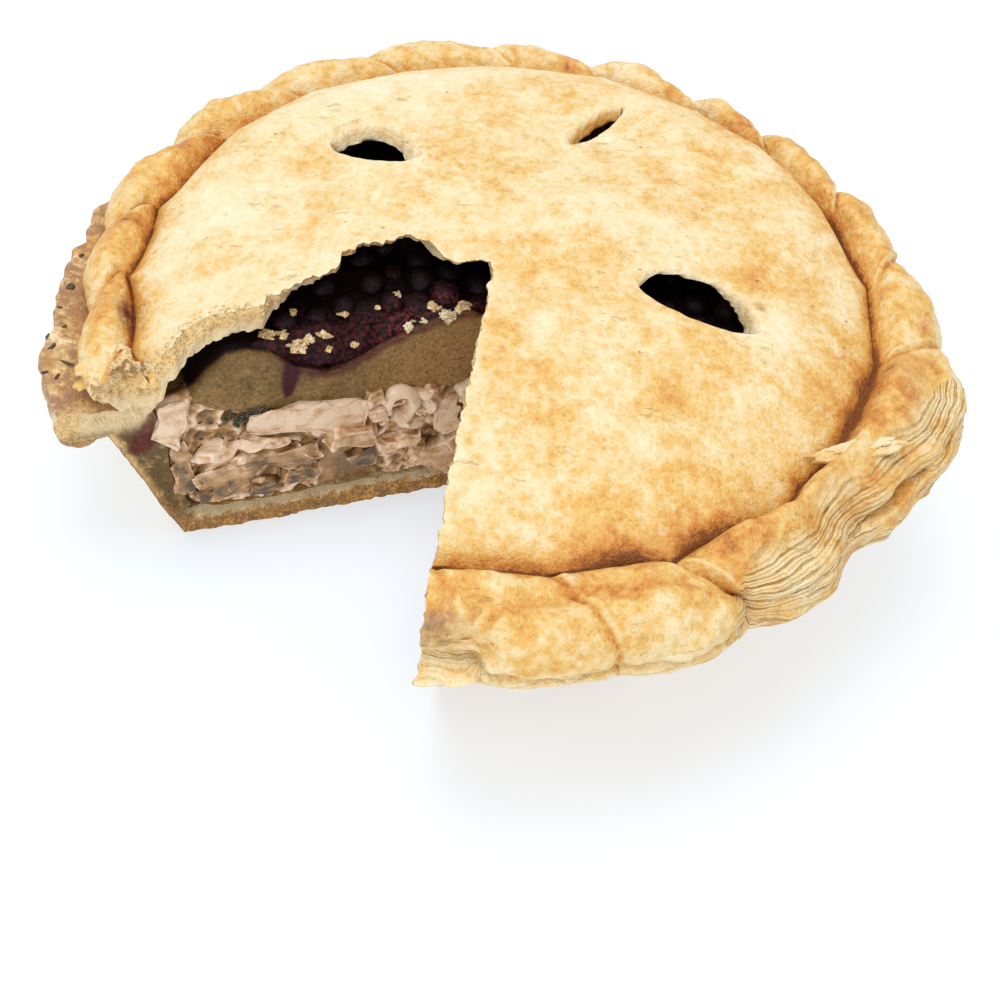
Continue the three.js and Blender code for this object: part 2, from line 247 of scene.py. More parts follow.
class PieShape:
    """The pie's form in millimetres from the rim's axis, from the sizes that a user sets."""

    BACK = heading(CUT_LEFT - 90.0)
    BACK_RIGHT = heading(CUT_RIGHT + 90.0)

    def __init__(self, sizes):
        self.base = sizes.base_radius * 1000
        self.wall = sizes.wall_radius * 1000
        self.wall_height = sizes.wall_height * 1000
        self.floor = sizes.crust_floor * 1000
        self.valley = sizes.valley_radius * 1000
        self.valley_height = sizes.valley_height * 1000
        self.top = sizes.lid_top * 1000
        self.lid_thick = sizes.lid_thickness * 1000
        self.pinch = sizes.pinch_depth * 1000
        self.flake = sizes.flake_depth * 1000
        self.crumb = sizes.crumb_depth * 1000

    def dome(self, radius, degrees=270.0):
        """Height of the lid's skin, fuller towards the back."""
        share = min(radius / self.valley, 1.0)
        full = smooth(math.sin(math.radians(degrees)), 0.0, 0.75)
        rise = (5.6 + 0.9 * grain(heading(degrees), 0.3, 9.0)) * full
        bulge = rise * stretch(share, 0.62, 0.92, 0.955, 1.0)
        return self.valley_height + (self.top - self.valley_height) * (1.0 - share ** 2.6) ** 0.75 + bulge

    def ring_at(self, degrees):
        """The valley's ring sits behind the axis, so the rim is broadest at the front."""
        return self.valley + VALLEY_SHIFT.dot(heading(degrees))

    def valley_at(self, degrees):
        """The valley waves with the flutes."""
        swell = self.flute(degrees + 7.0)[1]
        return self.ring_at(degrees) + 1.6 * (1.0 - 2.0 * swell)

    @staticmethod
    def flute_at(degrees):
        """The number of the flute at a bearing, and that bearing and its end past the first pinch."""
        turn = PINCHES[0] + (degrees - PINCHES[0]) % 360.0
        here = bisect.bisect_right(PINCHES, turn) - 1
        end = PINCHES[here + 1] if here + 1 < len(FLUTES) else PINCHES[0] + 360.0
        return here, turn, end

    def flute(self, degrees):
        """How far the rim reaches, its swell from 0 at a pinch to 1, and the share of the flute passed."""
        here, turn, end = self.flute_at(degrees)
        start, middle, press = FLUTES[here]
        before = FLUTES[here - 1][1]
        _, after, next_press = FLUTES[(here + 1) % len(FLUTES)]
        along = (turn - start) / (end - start)
        if along < 0.5:
            reach = (before + middle) / 2 + along * (middle - before)
        else:
            reach = middle + (along - 0.5) * (after - middle)
            press = next_press
        swell = 1.0 - press * (1.0 - math.sin(math.pi * along) ** 0.6)
        even = 1.0 - press * (0.5 + 0.5 * math.cos(math.tau * along))
        return reach, swell + (even - swell) * self.ruffle(turn % 360.0), along

    @staticmethod
    def ruffle(degrees):
        """Share of the front right stretch where the rim bends in and out as an even wave."""
        return stretch(degrees, 312.0, 318.0, 336.0, 342.0)

    @staticmethod
    def gape(degrees):
        """Share of the short stretch where the roll stands open above the flange."""
        return stretch(degrees, 326.0, 329.0, 334.5, 338.0)

    def crease(self, degrees):
        """Millimetres of rim past the nearest pinch, and how hard that pinch was pressed."""
        here, turn, end = self.flute_at(degrees)
        start, _, press = FLUTES[here]
        if turn - start < end - turn:
            return (turn - start) * RIM_ARC, press
        return (turn - end) * RIM_ARC, FLUTES[(here + 1) % len(FLUTES)][2]

    @staticmethod
    def lip(degrees):
        """Share of the left stretch where the case's flange stands out past the lid's roll."""
        off = abs((degrees - 176.0 + 180.0) % 360.0 - 180.0)
        return 1.0 - smooth(off, 21.0, 42.0)

    @staticmethod
    def sag(degrees):
        """Share of the short stretch at the left where the flange hangs down."""
        return stretch(degrees, 188.0, 204.0, 204.0, 234.0)

    @staticmethod
    def fan(degrees):
        """Share of the front right stretch where the flutes spread open into layers."""
        return stretch(degrees, 299.0, 309.0, 348.0, 360.0)

    @staticmethod
    def seam(radius):
        """Height of the seam between the case's flange and the lid."""
        return SEAM_HEIGHT + SEAM_SLOPE * (radius - SEAM_RADIUS)

    def around(self, place):
        """The way out of the rim's thick roll at a place, and its angle above the horizontal."""
        degrees = bearing(place)
        reach, swell, _ = self.flute(degrees)
        inward = (0.4 + 0.5 * self.ruffle(degrees)) * self.pinch * (1.0 - swell)
        off = place.xy.length - reach + ROLL_RADIUS + inward
        angle = math.atan2(place.z - ROLL_HEIGHT, off)
        return polar(degrees, math.cos(angle), math.sin(angle)), angle

    def layers(self, place):
        """Where a place on the rim lies across the pastry's layers, in layers, and how plainly they show."""
        degrees = bearing(place)
        along = self.flute(degrees)[2]
        angle = self.around(place)[1]
        sheet = polar(degrees, SHEET_RADIUS, -ROLL_RADIUS * angle)
        fan = self.fan(degrees)
        bend = grains(sheet, (2.8, 17.0, 21.0), (1.1, 6.0, 4.0)) + 2.6 * (1.0 - fan) * (along - 0.5)
        high = 0.15 + 1.7 * fan + 0.3 * grain(sheet, 12.0, 27.0)
        shown = (0.4 + 1.2 * fan) * smooth(-angle, -high, -high + 0.4) * (1.0 - smooth(-angle, 1.3, 1.9))
        shown *= 1.0 - self.lip(degrees)
        shown *= 1.0 - 0.75 * fan * smooth(grain(sheet, 10.0, 29.0), -0.05, 0.35)
        shown *= 1.0 - self.gape(degrees) * stretch(place.z, 53.5, 55.0, 59.0, 60.5)
        return (bend - ROLL_RADIUS * angle) / (2.7 + 0.5 * fan), shown

    def strata(self, place):
        """Relief of the pastry's layers: each has an outline of its own, with a groove between two."""
        count, shown = self.layers(place)
        if shown <= 0.0:
            return 0.0
        index = math.floor(count)
        part = count - index
        own = grain(polar(bearing(place), SHEET_RADIUS, 17.0 * index), 9.0, 23.0)
        gap = min(part, 1.0 - part)
        groove = (0.55 + 0.9 * own) * hump(gap, 0.0, 0.2)
        return shown * self.flake * (1.6 * own + 0.6 - max(groove, 0.1))

    @staticmethod
    def slip(height):
        """The base stands a little off the rim's axis."""
        return BASE_SHIFT * (1.0 - smooth(height, 0.0, 43.0))

    def crimp(self, degrees, share, bare, hung, rise, rest):
        """A point of the lid's crimped roll, share of the way from the valley to its outer edge."""
        cover = between(COVER, degrees)
        turn = degrees + 8.0 * (1.0 - share)
        reach, swell, _ = self.flute(turn)
        past, press = self.crease(turn)
        inset = (3.4 + 3.6 * smooth(degrees, 168.0, 196.0)) * self.lip(degrees)
        edge = reach - 3.0 + 2.6 * cover - inset - self.pinch * (1.0 - swell)
        inner = self.valley_at(degrees)
        radius = inner + (edge - inner) * share
        ruffle = self.ruffle(turn)
        height = bare + (hung - bare) * cover + rise * (swell + 0.8 * ruffle * (1.0 - swell))
        height += rest * (1.0 - cover) * (self.seam(radius) - SEAM_EDGE)
        spread = 3.2 * hump(share, 0.22, 0.16) - 4.6 * hump(share, 0.72, 0.22)
        height += spread * self.fan(degrees) + 3.2 * rest * self.gape(degrees)
        front = stretch(degrees, 256.0, 264.0, 294.0, 306.0)
        fold = share + 0.1 * grain(heading(degrees), 0.12, 15.0)
        ridge = 1.5 * hump(fold, 0.2, 0.12) - 1.9 * hump(fold, 0.46, 0.12)
        height += front * (ridge + 0.9 * hump(fold, 0.72, 0.14))
        place = polar(degrees, radius, height)
        out = self.around(place)[0]
        top = stretch(share, 0.05, 0.25, 0.85, 1.0)
        tuck = 0.9 * hump(past, 0.0, 2.8) * max(min(past / 0.8, 1.0), -1.0) - hump(past, 0.0, 0.9)
        wrinkle = grain(Vector((turn * RIM_ARC, 2.5 * share, 0.0)), 1.7, 13.0) * hump(past, 0.0, 6.0)
        push = press * top * (1.5 * tuck + 0.5 * wrinkle) * (1.0 - ruffle)
        fade = smooth(share, 0.0, 0.3)
        push += fade * grains(place, (1.3, 15.0, 7.0), (1.1, 7.0, 9.0), (0.5, 3.0, 11.0))
        push += self.strata(place) * smooth(share + 0.2 * self.fan(degrees), 0.35, 0.6)
        push -= 8.5 * self.torn_end(place, degrees) * smooth(share, 0.4, 0.7)
        return place + out * push

    @staticmethod
    def torn_end(place, degrees):
        """Share of the front end of the roll that is torn away beside the cut."""
        return smooth(273.4 + 1.6 * grain(place, 5.0, 55.0) - degrees, 0.0, 5.2) * (degrees > 240.0)

    def flange(self, degrees, share, height, rest):
        """A point of the case's flange, share of the way from the top of the wall to its edge."""
        cover = between(COVER, degrees)
        reach, swell, _ = self.flute(degrees)
        lip = self.lip(degrees)
        sag = self.sag(degrees)
        edge = reach - self.pinch * (1.0 - 0.6 * lip) * (1.0 - swell) + 0.5 * sag
        under = cover * (0.4 + 3.4 * smooth(height, 51.0, 53.5))
        edge -= under + 2.5 * lip * (1.0 - smooth(degrees, 150.0, 185.0))
        edge -= 7.0 * self.torn_end(polar(degrees, edge, height), degrees) * smooth(height, 49.0, 51.5)
        radius = self.wall + (edge - self.wall) * share
        level = height + rest * (self.seam(radius) - SEAM_EDGE) - 5.5 * sag * smooth(share, 0.0, 0.6)
        place = polar(degrees, radius, level)
        lumps = grains(place, (0.5, 9.0, 31.0), (0.35, 3.5, 33.0))
        lumps += lip * grains(place, (2.2, 11.0, 35.0), (1.1, 4.5, 37.0), (0.3, 2.2, 39.0))
        fade = smooth(share, 0.05, 0.5)
        return place + self.around(place)[0] * fade * (lumps + self.strata(place))

    def behind_right_cut(self, place):
        return (place - CUT_POINT).dot(self.BACK_RIGHT)

    def off_left_cut(self, place):
        """Distance along the left cut from its point, and how far behind it a place is."""
        away = place - CUT_POINT
        return away.dot(heading(CUT_LEFT)), away.dot(self.BACK)


class Signal:
    """A shader socket that Python arithmetic works on."""

    def __init__(self, finish, socket):
        self.finish = finish
        self.socket = socket

    def math(self, operation, first, second):
        return self.finish.node("ShaderNodeMath", {"operation": operation}, {0: first, 1: second})

    def __add__(self, other):
        return self.math("ADD", self, other)

    def __radd__(self, other):
        return self.math("ADD", other, self)

    def __sub__(self, other):
        return self.math("SUBTRACT", self, other)

    def __rsub__(self, other):
        return self.math("SUBTRACT", other, self)

    def __mul__(self, other):
        return self.math("MULTIPLY", self, other)

    def __rmul__(self, other):
        return self.math("MULTIPLY", other, self)


class Finish:
    """One procedural material and the few kinds of node that the pie's finishes share."""

    def __init__(self, name):
        self.material = bpy.data.materials.new(name)
        self.material.use_nodes = True
        self.tree = self.material.node_tree
        self.shader = self.tree.nodes["Principled BSDF"]
        coordinates = self.node("ShaderNodeTexCoord", output="Object")
        sockets = {0: coordinates, "Scale": 1000.0}
        self.place = self.node("ShaderNodeVectorMath", {"operation": "SCALE"}, sockets)

    def node(self, kind, settings=None, sockets=None, output=0):
        """Adds a node with its settings and inputs, and returns one of its outputs."""
        made = self.tree.nodes.new(kind)
        for key, value in (settings or {}).items():
            if key == "stops":
                ramp = made.color_ramp
                ramp.interpolation = "LINEAR"
                for count, (position, colour) in enumerate(value):
                    stop = ramp.elements[count] if count < 2 else ramp.elements.new(position)
                    stop.position = position
                    stop.color = (*colour, 1.0)
            else:
                setattr(made, key, value)
        for key, value in (sockets or {}).items():
            self.feed(made.inputs[key], value)
        return Signal(self, made.outputs[output])

    def feed(self, socket, value):
        if isinstance(value, Signal):
            self.tree.links.new(value.socket, socket)
        elif socket.type == "RGBA" and len(value) == 3:
            socket.default_value = (*value, 1.0)
        else:
            socket.default_value = value

    def set(self, **values):
        """Sets or links the shader's own sockets."""
        for key, value in values.items():
            self.feed(self.shader.inputs[key.replace("_", " ")], value)

    def attribute(self, name):
        return self.node("ShaderNodeAttribute", {"attribute_name": name}, output="Fac")

    def stretched(self, scale, turn=(0.0, 0.0, 0.0)):
        return self.node("ShaderNodeMapping", {}, {"Vector": self.place, "Scale": scale, "Rotation": turn})

    def lumps(self, size, detail=3.0, rough=0.55, where=None, shift=0.0):
        """Noise with lumps of about that size in millimetres."""
        sockets = {"Vector": where or self.place, "W": shift, "Scale": 1.0 / size}
        sockets |= {"Detail": detail, "Roughness": rough}
        return self.node("ShaderNodeTexNoise", {"noise_dimensions": "4D"}, sockets)

    def cells(self, size):
        return self.node("ShaderNodeTexVoronoi", {}, {"Vector": self.place, "Scale": 1.0 / size})

    def folds(self, value):
        """A wave that is 0 at each whole number."""
        return self.node("ShaderNodeMath", {"operation": "PINGPONG"}, {0: value, 1: 0.5})

    def step(self, value, low, high):
        sockets = {"Value": value, "From Min": low, "From Max": high}
        return self.node("ShaderNodeMapRange", {"interpolation_type": "SMOOTHSTEP"}, sockets)

    def blend(self, first, second, share):
        return self.node("ShaderNodeMix", {"data_type": "RGBA"}, {0: share, 6: first, 7: second}, output=2)

    def ramp(self, value, stops):
        return self.node("ShaderNodeValToRGB", {"stops": stops}, {"Fac": value})

    def bump(self, height, distance):
        return self.node("ShaderNodeBump", {}, {"Height": height, "Distance": distance * 0.001})


def crust_finish(colours):
    """Baked skin of the pastry: mottled cream and gold, browner where the bake attribute says, with painted
    shade in creases and a painted highlight on ridges.
    """
    skin = Finish("pastry_crust")
    flaky = skin.attribute("flaky")
    # The hollow attribute adds painted shade in creases and a painted highlight on ridges to the bake.
    bake = skin.attribute("bake") + skin.attribute("hollow") * (1.1 - 0.85 * flaky)
    stain = skin.attribute("stain")
    raw = skin.attribute("raw")
    broad = skin.lumps(34.0, 2.0)
    blotch = skin.lumps(9.0, 6.0, 0.7, shift=3.0)
    spot = skin.lumps(2.3, 4.0, 0.65, shift=7.0)
    dust = skin.lumps(0.7, 2.0, shift=11.0)
    toast = bake + (blotch - 0.5) * 1.15 + (broad - 0.5) * 0.75 + (spot - 0.5) * 0.75 + (dust - 0.5) * 0.3
    colour = skin.ramp(toast, (
        (0.0, colours.flour), (1.0, colours.scorch), (0.24, colours.cream), (0.5, colours.gold),
        (0.76, colours.toast),
    ))
    layer = skin.attribute("strata") + (spot - 0.5) * 0.5
    groove = skin.step(skin.folds(layer), 0.16, 0.02)
    sheet = skin.step(skin.folds(layer * 2.0), 0.16, 0.03)
    colour = skin.blend(colour, colours.cream, flaky * skin.step(blotch, 0.66, 0.4) * 0.6)
    lined = flaky * (groove * 0.3 + sheet * 0.1)
    colour = skin.blend(colour, colours.toast, lined * skin.step(blotch, 0.3, 0.6))
    pale = skin.step(skin.lumps(4.8, 2.0, shift=15.0), 0.6, 0.7) * 0.4 * skin.step(bake, 0.75, 0.4)
    colour = skin.blend(colour, colours.flour, pale)
    wrinkle = skin.lumps(1.6, 3.0, 0.6, where=skin.stretched((0.25, 1.0, 1.0), (0.0, 0.0, 0.5)), shift=19.0)
    crease = skin.step(wrinkle, 0.42, 0.34) * skin.step(skin.lumps(17.0, 2.0, shift=21.0), 0.54, 0.66)
    colour = skin.blend(colour, colours.gold, crease * 0.5)
    speck = skin.step(skin.cells(6.5), 0.085, 0.05) * skin.step(skin.lumps(9.0, 1.0, shift=23.0), 0.56, 0.6)
    colour = skin.blend(colour, colours.scorch, speck * 0.55)
    colour = skin.blend(colour, colours.dough, raw)
    # The wet attribute is painted shade in the torn end of the roll, and gravy with painted shade on the cut
    # wall.
    colour = skin.blend(colour, colours.shaded_wet_dough, skin.attribute("wet") * skin.step(spot, 0.2, 0.6))
    soaked = skin.attribute("soak") * skin.step(blotch + (spot - 0.5), 0.25, 0.62)
    colour = skin.blend(colour, colours.soaked, soaked)
    colour = skin.blend(colour, colours.seep, stain * skin.step(spot, 0.2, 0.55))
    relief = blotch * 0.8 + spot * 0.9 + dust * 0.3 - crease * 0.3 - speck * 0.3
    relief = relief - flaky * (groove * 0.45 + sheet * 0.25)
    skin.set(
        Base_Color=colour,
        Roughness=0.62 - 0.16 * skin.step(toast, 0.3, 0.8) + (spot - 0.5) * 0.2,
        Normal=skin.bump(relief, 1.2),
        Specular_IOR_Level=0.4,
    )
    return skin.material


def crumb_finish(colours):
    """Broken or cut pastry: golden crumbs under the skin, paler dough towards the filling."""
    crumb = Finish("pastry_crumb")
    depth = crumb.attribute("depth")
    hollow = crumb.attribute("hollow")
    stain = crumb.attribute("stain")
    coarse = crumb.lumps(3.2, 3.0, 0.6)
    fine = crumb.lumps(0.9, 3.0, 0.65, shift=5.0)
    holes = crumb.cells(0.9)
    inner = crumb.step(depth + (coarse - 0.5) * 0.7, 0.45, 0.8)
    colour = crumb.blend(colours.crumb, colours.dough, inner)
    colour = crumb.blend(colour, colours.toast, crumb.step(fine, 0.52, 0.72) * 0.6 * (1.0 - 0.75 * inner))
    colour = crumb.blend(colour, colours.flour, crumb.step(coarse, 0.54, 0.7) * 0.6 * (1.0 - 0.5 * inner))
    colour = crumb.blend(colour, colours.scorch, crumb.step(depth + (fine - 0.5) * 0.12, 0.09, 0.03) * 0.6)
    brown = crumb.blend(colours.gold, colours.toast, 0.6)
    brown = crumb.blend(brown, colours.base_crust, crumb.step(fine * 0.6 + coarse * 0.4, 0.36, 0.56))
    crusty = crumb.attribute("crusty") * crumb.step(depth + (coarse - 0.5) * 1.1, 0.8, 0.5)
    colour = crumb.blend(colour, brown, crusty * 0.9)
    # The wet attribute is gravy with painted shade on the cut wall of the case.
    colour = crumb.blend(colour, colours.shaded_wet_dough, crumb.attribute("wet") * crumb.step(coarse, 0.15, 0.5))
    # Painted shade: browner in the creases of the broken pastry.
    colour = crumb.blend(colour, colours.toast, crumb.step(hollow, 0.05, 0.35) * 0.5)
    colour = crumb.blend(colour, colours.flour, crumb.attribute("pale") * crumb.step(coarse, 0.3, 0.6))
    colour = crumb.blend(colour, colours.seep, crumb.step(stain + (coarse - 0.5) * 0.9, 0.1, 0.9) * 0.85)
    relief = fine * 0.8 + coarse * 0.6 + crumb.step(holes, 0.1, 0.6) * 0.35 * (1.0 - 0.7 * inner)
    crumb.set(
        Base_Color=colour,
        Roughness=0.8 - 0.25 * inner + (fine - 0.5) * 0.15,
        Normal=crumb.bump(relief, 1.4),
        Specular_IOR_Level=0.3,
    )
    return crumb.material


def meat_finish(colours):
    """Moist roast turkey, pale pink to tan, with fine fibres."""
    meat = Finish("turkey_meat")
    # The hollow attribute adds painted shade in creases and a painted highlight on ridges to the gravy tint.
    tint = meat.attribute("tint") + meat.attribute("hollow") * 2.4
    fibre = meat.lumps(1.0, 3.0, 0.6, where=meat.stretched((0.22, 1.0, 1.5), (0.0, 0.4, 0.36)))
    swirl = meat.node(
        "ShaderNodeTexNoise", {}, {"Vector": meat.place, "Scale": 0.35, "Detail": 3.0}, output="Color",
    )
    torn = meat.node(
        "ShaderNodeVectorMath", {"operation": "MULTIPLY_ADD"}, {0: swirl, 1: (5.0, 5.0, 5.0), 2: meat.place},
    )
    sockets = {"Vector": torn, "Scale": (0.55, 0.8, 1.1), "Rotation": (0.0, 0.3, 0.36)}
    sockets = {"Vector": meat.node("ShaderNodeMapping", {}, sockets), "Scale": 0.25}
    shred = meat.node("ShaderNodeTexVoronoi", {}, sockets, output="Color")
    seam = meat.step(meat.node("ShaderNodeTexVoronoi", {"feature": "DISTANCE_TO_EDGE"}, sockets), 0.16, 0.0)
    patch = meat.lumps(4.5, 3.0, shift=3.0)
    fine = meat.lumps(0.7, 2.0, shift=5.0)
    loose = meat.attribute("loose")
    toned = tint + (patch - 0.5) * 1.0 + (fibre - 0.5) * 0.5 + (fine - 0.5) * 0.35
    toned = toned + loose * ((shred - 0.45) * 0.4 + seam * 0.12)
    colour = meat.ramp(toned, (
        (0.0, colours.turkey_white), (1.0, colours.gravy_dark), (0.3, colours.turkey),
        (0.56, colours.turkey_brown), (0.8, colours.gravy),
    ))
    meat.set(
        Base_Color=colour,
        Roughness=0.42 + (fibre - 0.5) * 0.3,
        Normal=meat.bump(fibre * 0.7 + patch * 0.3 + fine * 0.3, 0.6),
        Subsurface_Weight=0.15,
        Subsurface_Radius=(0.004, 0.002, 0.0012),
        Specular_IOR_Level=0.3,
        Coat_Weight=0.45,
        Coat_Roughness=0.12,
    )
    return meat.material


def gravy_finish(colours):
    """Shredded turkey set in gravy: tan on what stands out, darker further behind the knife face and in
    creases, partly gravy and partly painted shade.
    """
    gravy = Finish("gravy")
    deep = gravy.attribute("deep")
    broad = gravy.lumps(7.0, 3.0)
    shred = gravy.lumps(1.6, 4.0, 0.65, where=gravy.stretched((1.0, 1.0, 0.45)), shift=4.0)
    fine = gravy.lumps(0.8, 2.0, shift=9.0)
    # Deep and hollow add painted shade behind the knife face and in creases to the gravy's own darker
    # colour.
    sunk = 0.12 + deep + (broad - 0.5) * 0.7 + (shred - 0.5) * 0.5 + gravy.attribute("hollow") * 1.6
    colour = gravy.blend(colours.turkey_white, colours.turkey, gravy.step(sunk, 0.0, 0.25))
    colour = gravy.blend(colour, colours.turkey_brown, gravy.step(sunk, 0.2, 0.48))
    colour = gravy.blend(colour, colours.gravy, gravy.step(sunk, 0.42, 0.72))
    colour = gravy.blend(colour, colours.gravy_dark, gravy.step(sunk + (fine - 0.5) * 0.3, 0.78, 1.15) * 0.8)
    gravy.set(
        Base_Color=colour,
        Roughness=0.3 + 0.3 * gravy.step(shred, 0.45, 0.7),
        Normal=gravy.bump(shred * 0.8 + broad * 0.4 + fine * 0.3, 0.9),
        Specular_IOR_Level=0.35,
        Coat_Weight=0.2,
        Coat_Roughness=0.15,
    )
    return gravy.material


def stuffing_finish(colours):
    """Smooth, moist stuffing with faint drag lines from the knife and dark flecks."""
    stuff = Finish("stuffing")
    broad = stuff.lumps(14.0, 3.0)
    drag = stuff.lumps(1.3, 3.0, 0.6, where=stuff.stretched((0.5, 0.5, 2.0), (0.0, 0.15, 0.0)), shift=2.0)
    fine = stuff.lumps(0.8, 3.0, 0.65, shift=6.0)
    grit = stuff.lumps(2.4, 3.0, 0.6, shift=15.0)
    stain = stuff.attribute("stain")
    colour = stuff.blend(colours.stuffing, colours.stuffing_dark, stuff.step(broad, 0.38, 0.66) * 0.75)
    colour = stuff.blend(colour, colours.stuffing_dark, stuff.step(grit, 0.5, 0.36) * 0.7)
    colour = stuff.blend(colour, colours.turkey_brown, stuff.step(grit, 0.54, 0.7) * 0.5)
    # The pale attribute is painted light on the stuffing near the point of the cut.
    light = stuff.step(fine, 0.5, 0.66) * 0.45 + stuff.attribute("pale") * 0.65
    colour = stuff.blend(colour, colours.turkey_brown, light)
    colour = stuff.blend(colour, colours.stuffing_dark, stuff.step(fine, 0.5, 0.34) * 0.8)
    fleck = stuff.step(stuff.cells(3.4), 0.13, 0.07)
    fleck = fleck * stuff.step(stuff.lumps(6.0, 1.0, shift=12.0), 0.5, 0.6)
    colour = stuff.blend(colour, colours.herb, fleck * 0.8)
    colour = stuff.blend(colour, colours.seep, stuff.step(stain + (fine - 0.5) * 0.6, 0.3, 0.8) * 0.45)
    colour = stuff.blend(colour, colours.juice, stuff.step(stain + (drag - 0.5) * 0.4, 0.55, 1.0))
    # Nearly black top: dark juice and painted shade of the space under the lid.
    colour = stuff.blend(colour, colours.cranberry, stuff.attribute("jam"))
    stuff.set(
        Base_Color=colour,
        Roughness=0.5 + (drag - 0.5) * 0.3,
        Normal=stuff.bump(drag * 0.5 + fine * 0.5 + grit * 0.5 + broad * 0.6, 0.8),
        Specular_IOR_Level=0.2,
        Coat_Weight=0.03,
    )
    return stuff.material


def fruit_finish(colours):
    """Cooked cranberries: near black as painted shade of the space under the lid, glossy, maroon where the
    skin is thin.
    """
    fruit = Finish("cranberry")
    patch = fruit.lumps(6.0, 3.0)
    pulp = fruit.lumps(1.1, 4.0, 0.65, shift=3.0)
    wet = fruit.attribute("pulp")
    thin = fruit.step(patch + (pulp - 0.5) * 0.6, 0.55, 0.85)
    colour = fruit.blend(colours.cranberry, colours.juice, thin)
    colour = fruit.blend(colour, colours.pulp, wet * fruit.step(pulp, 0.42, 0.66))
    fruit.set(
        Base_Color=colour,
        Roughness=0.28 + 0.4 * fruit.step(pulp, 0.45, 0.7),
        Normal=fruit.bump(pulp * 0.8 + patch * 0.4, 0.7),
        Specular_IOR_Level=0.12,
        Coat_Weight=0.03,
        Coat_Roughness=0.15,
    )
    return fruit.material


def herb_finish(colours):
    """Cooked dark green herb."""
    herb = Finish("herb")
    vein = herb.lumps(1.2, 3.0)
    colour = herb.blend(colours.herb, colours.gravy_dark, herb.step(vein, 0.4, 0.65))
    herb.set(Base_Color=colour, Roughness=0.4 + 0.3 * vein, Normal=herb.bump(vein, 0.4))
    return herb.material


def floor_finish(colour, glow):
    """Plain pale studio sweep."""
    sweep = Finish("studio_floor")
    shade = sweep.lumps(400.0, 2.0)
    tone = sweep.blend(colour, [0.985 * part for part in colour], shade)
    sweep.set(Base_Color=tone, Roughness=0.75 + 0.1 * shade)
    sweep.set(Emission_Color=tuple(glow), Emission_Strength=1.0)
    return sweep.material


def spun(section, steps, finer=None):
    """A closed turned shape from a section of (radius, height) points that starts and ends on the axis."""
    bm = bmesh.new()
    station = bm.verts.layers.float.new("station")
    ring = []
    for count, (radius, height) in enumerate(section):
        ring.append(bm.verts.new((radius, 0.0, height)))
        ring[-1][station] = count
    edges = [bm.edges.new(pair) for pair in zip(ring, ring[1:])]
    bmesh.ops.spin(
        bm, geom=ring + edges, axis=(0, 0, 1), cent=(0, 0, 0), angle=math.tau, steps=steps, use_merge=True,
    )
    bmesh.ops.remove_doubles(bm, verts=bm.verts, dist=0.0004)
    finer = finer or [0] * len(section)
    for cuts in sorted(set(finer) - {0}):
        around = []
        for edge in bm.edges:
            first, second = (vert[station] for vert in edge.verts)
            if abs(first - second) < 0.01 and finer[round(first)] == cuts:
                around.append(edge)
        bmesh.ops.subdivide_edges(bm, edges=around, cuts=cuts, use_grid_fill=True)
    bmesh.ops.recalc_face_normals(bm, faces=bm.faces)
    return bm


def shaped(bm, rule):
    """Moves each point of a turned shape where a rule puts it, from its bearing and its station."""
    station = bm.verts.layers.float["station"]
    for vert in bm.verts:
        vert.co = rule(bearing(vert.co), round(vert[station]))


def raised(bm, ring, steps):
    """Closes a ring of points into a face and raises it, step by step, into a closed column."""
    edges = [bm.edges.new((a, b)) for a, b in zip(ring, ring[1:] + ring[:1])]
    bm.faces.new(ring)
    for step in steps:
        made = bmesh.ops.extrude_edge_only(bm, edges=edges)["geom"]
        fresh = {part for part in made if isinstance(part, bmesh.types.BMVert)}
        edges = [part for part in made if isinstance(part, bmesh.types.BMEdge) and set(part.verts) <= fresh]
        bmesh.ops.translate(bm, verts=list(fresh), vec=(0, 0, step))
    bmesh.ops.contextual_create(bm, geom=edges)


def wedge(levels, spacing, push_left, push_right):
    """The wedge that the knife takes out, with each of its two faces pushed back by a rule."""
    bm = bmesh.new()
    side = bm.verts.layers.float.new("side")
    runs = ramp_list(0.0, FACE_FINE, spacing) + [FACE_REACH]
    ring = []
    for run in runs:
        ring.append(bm.verts.new(CUT_POINT + heading(CUT_LEFT) * run + Vector((0, 0, levels[0]))))
        ring[-1][side] = run
    for run in reversed(runs[1:]):
        ring.append(bm.verts.new(CUT_POINT + heading(CUT_RIGHT) * run + Vector((0, 0, levels[0]))))
        ring[-1][side] = -run
    raised(bm, ring, [high - low for low, high in zip(levels, levels[1:])])
    for vert in bm.verts:
        run = vert[side]
        if run >= 0.0:
            vert.co += PieShape.BACK * push_left(run, vert.co)
        else:
            vert.co += PieShape.BACK_RIGHT * push_right(-run, vert.co)
    bmesh.ops.recalc_face_normals(bm, faces=bm.faces)
    for face in bm.faces:
        face.material_index = 1
    return bm


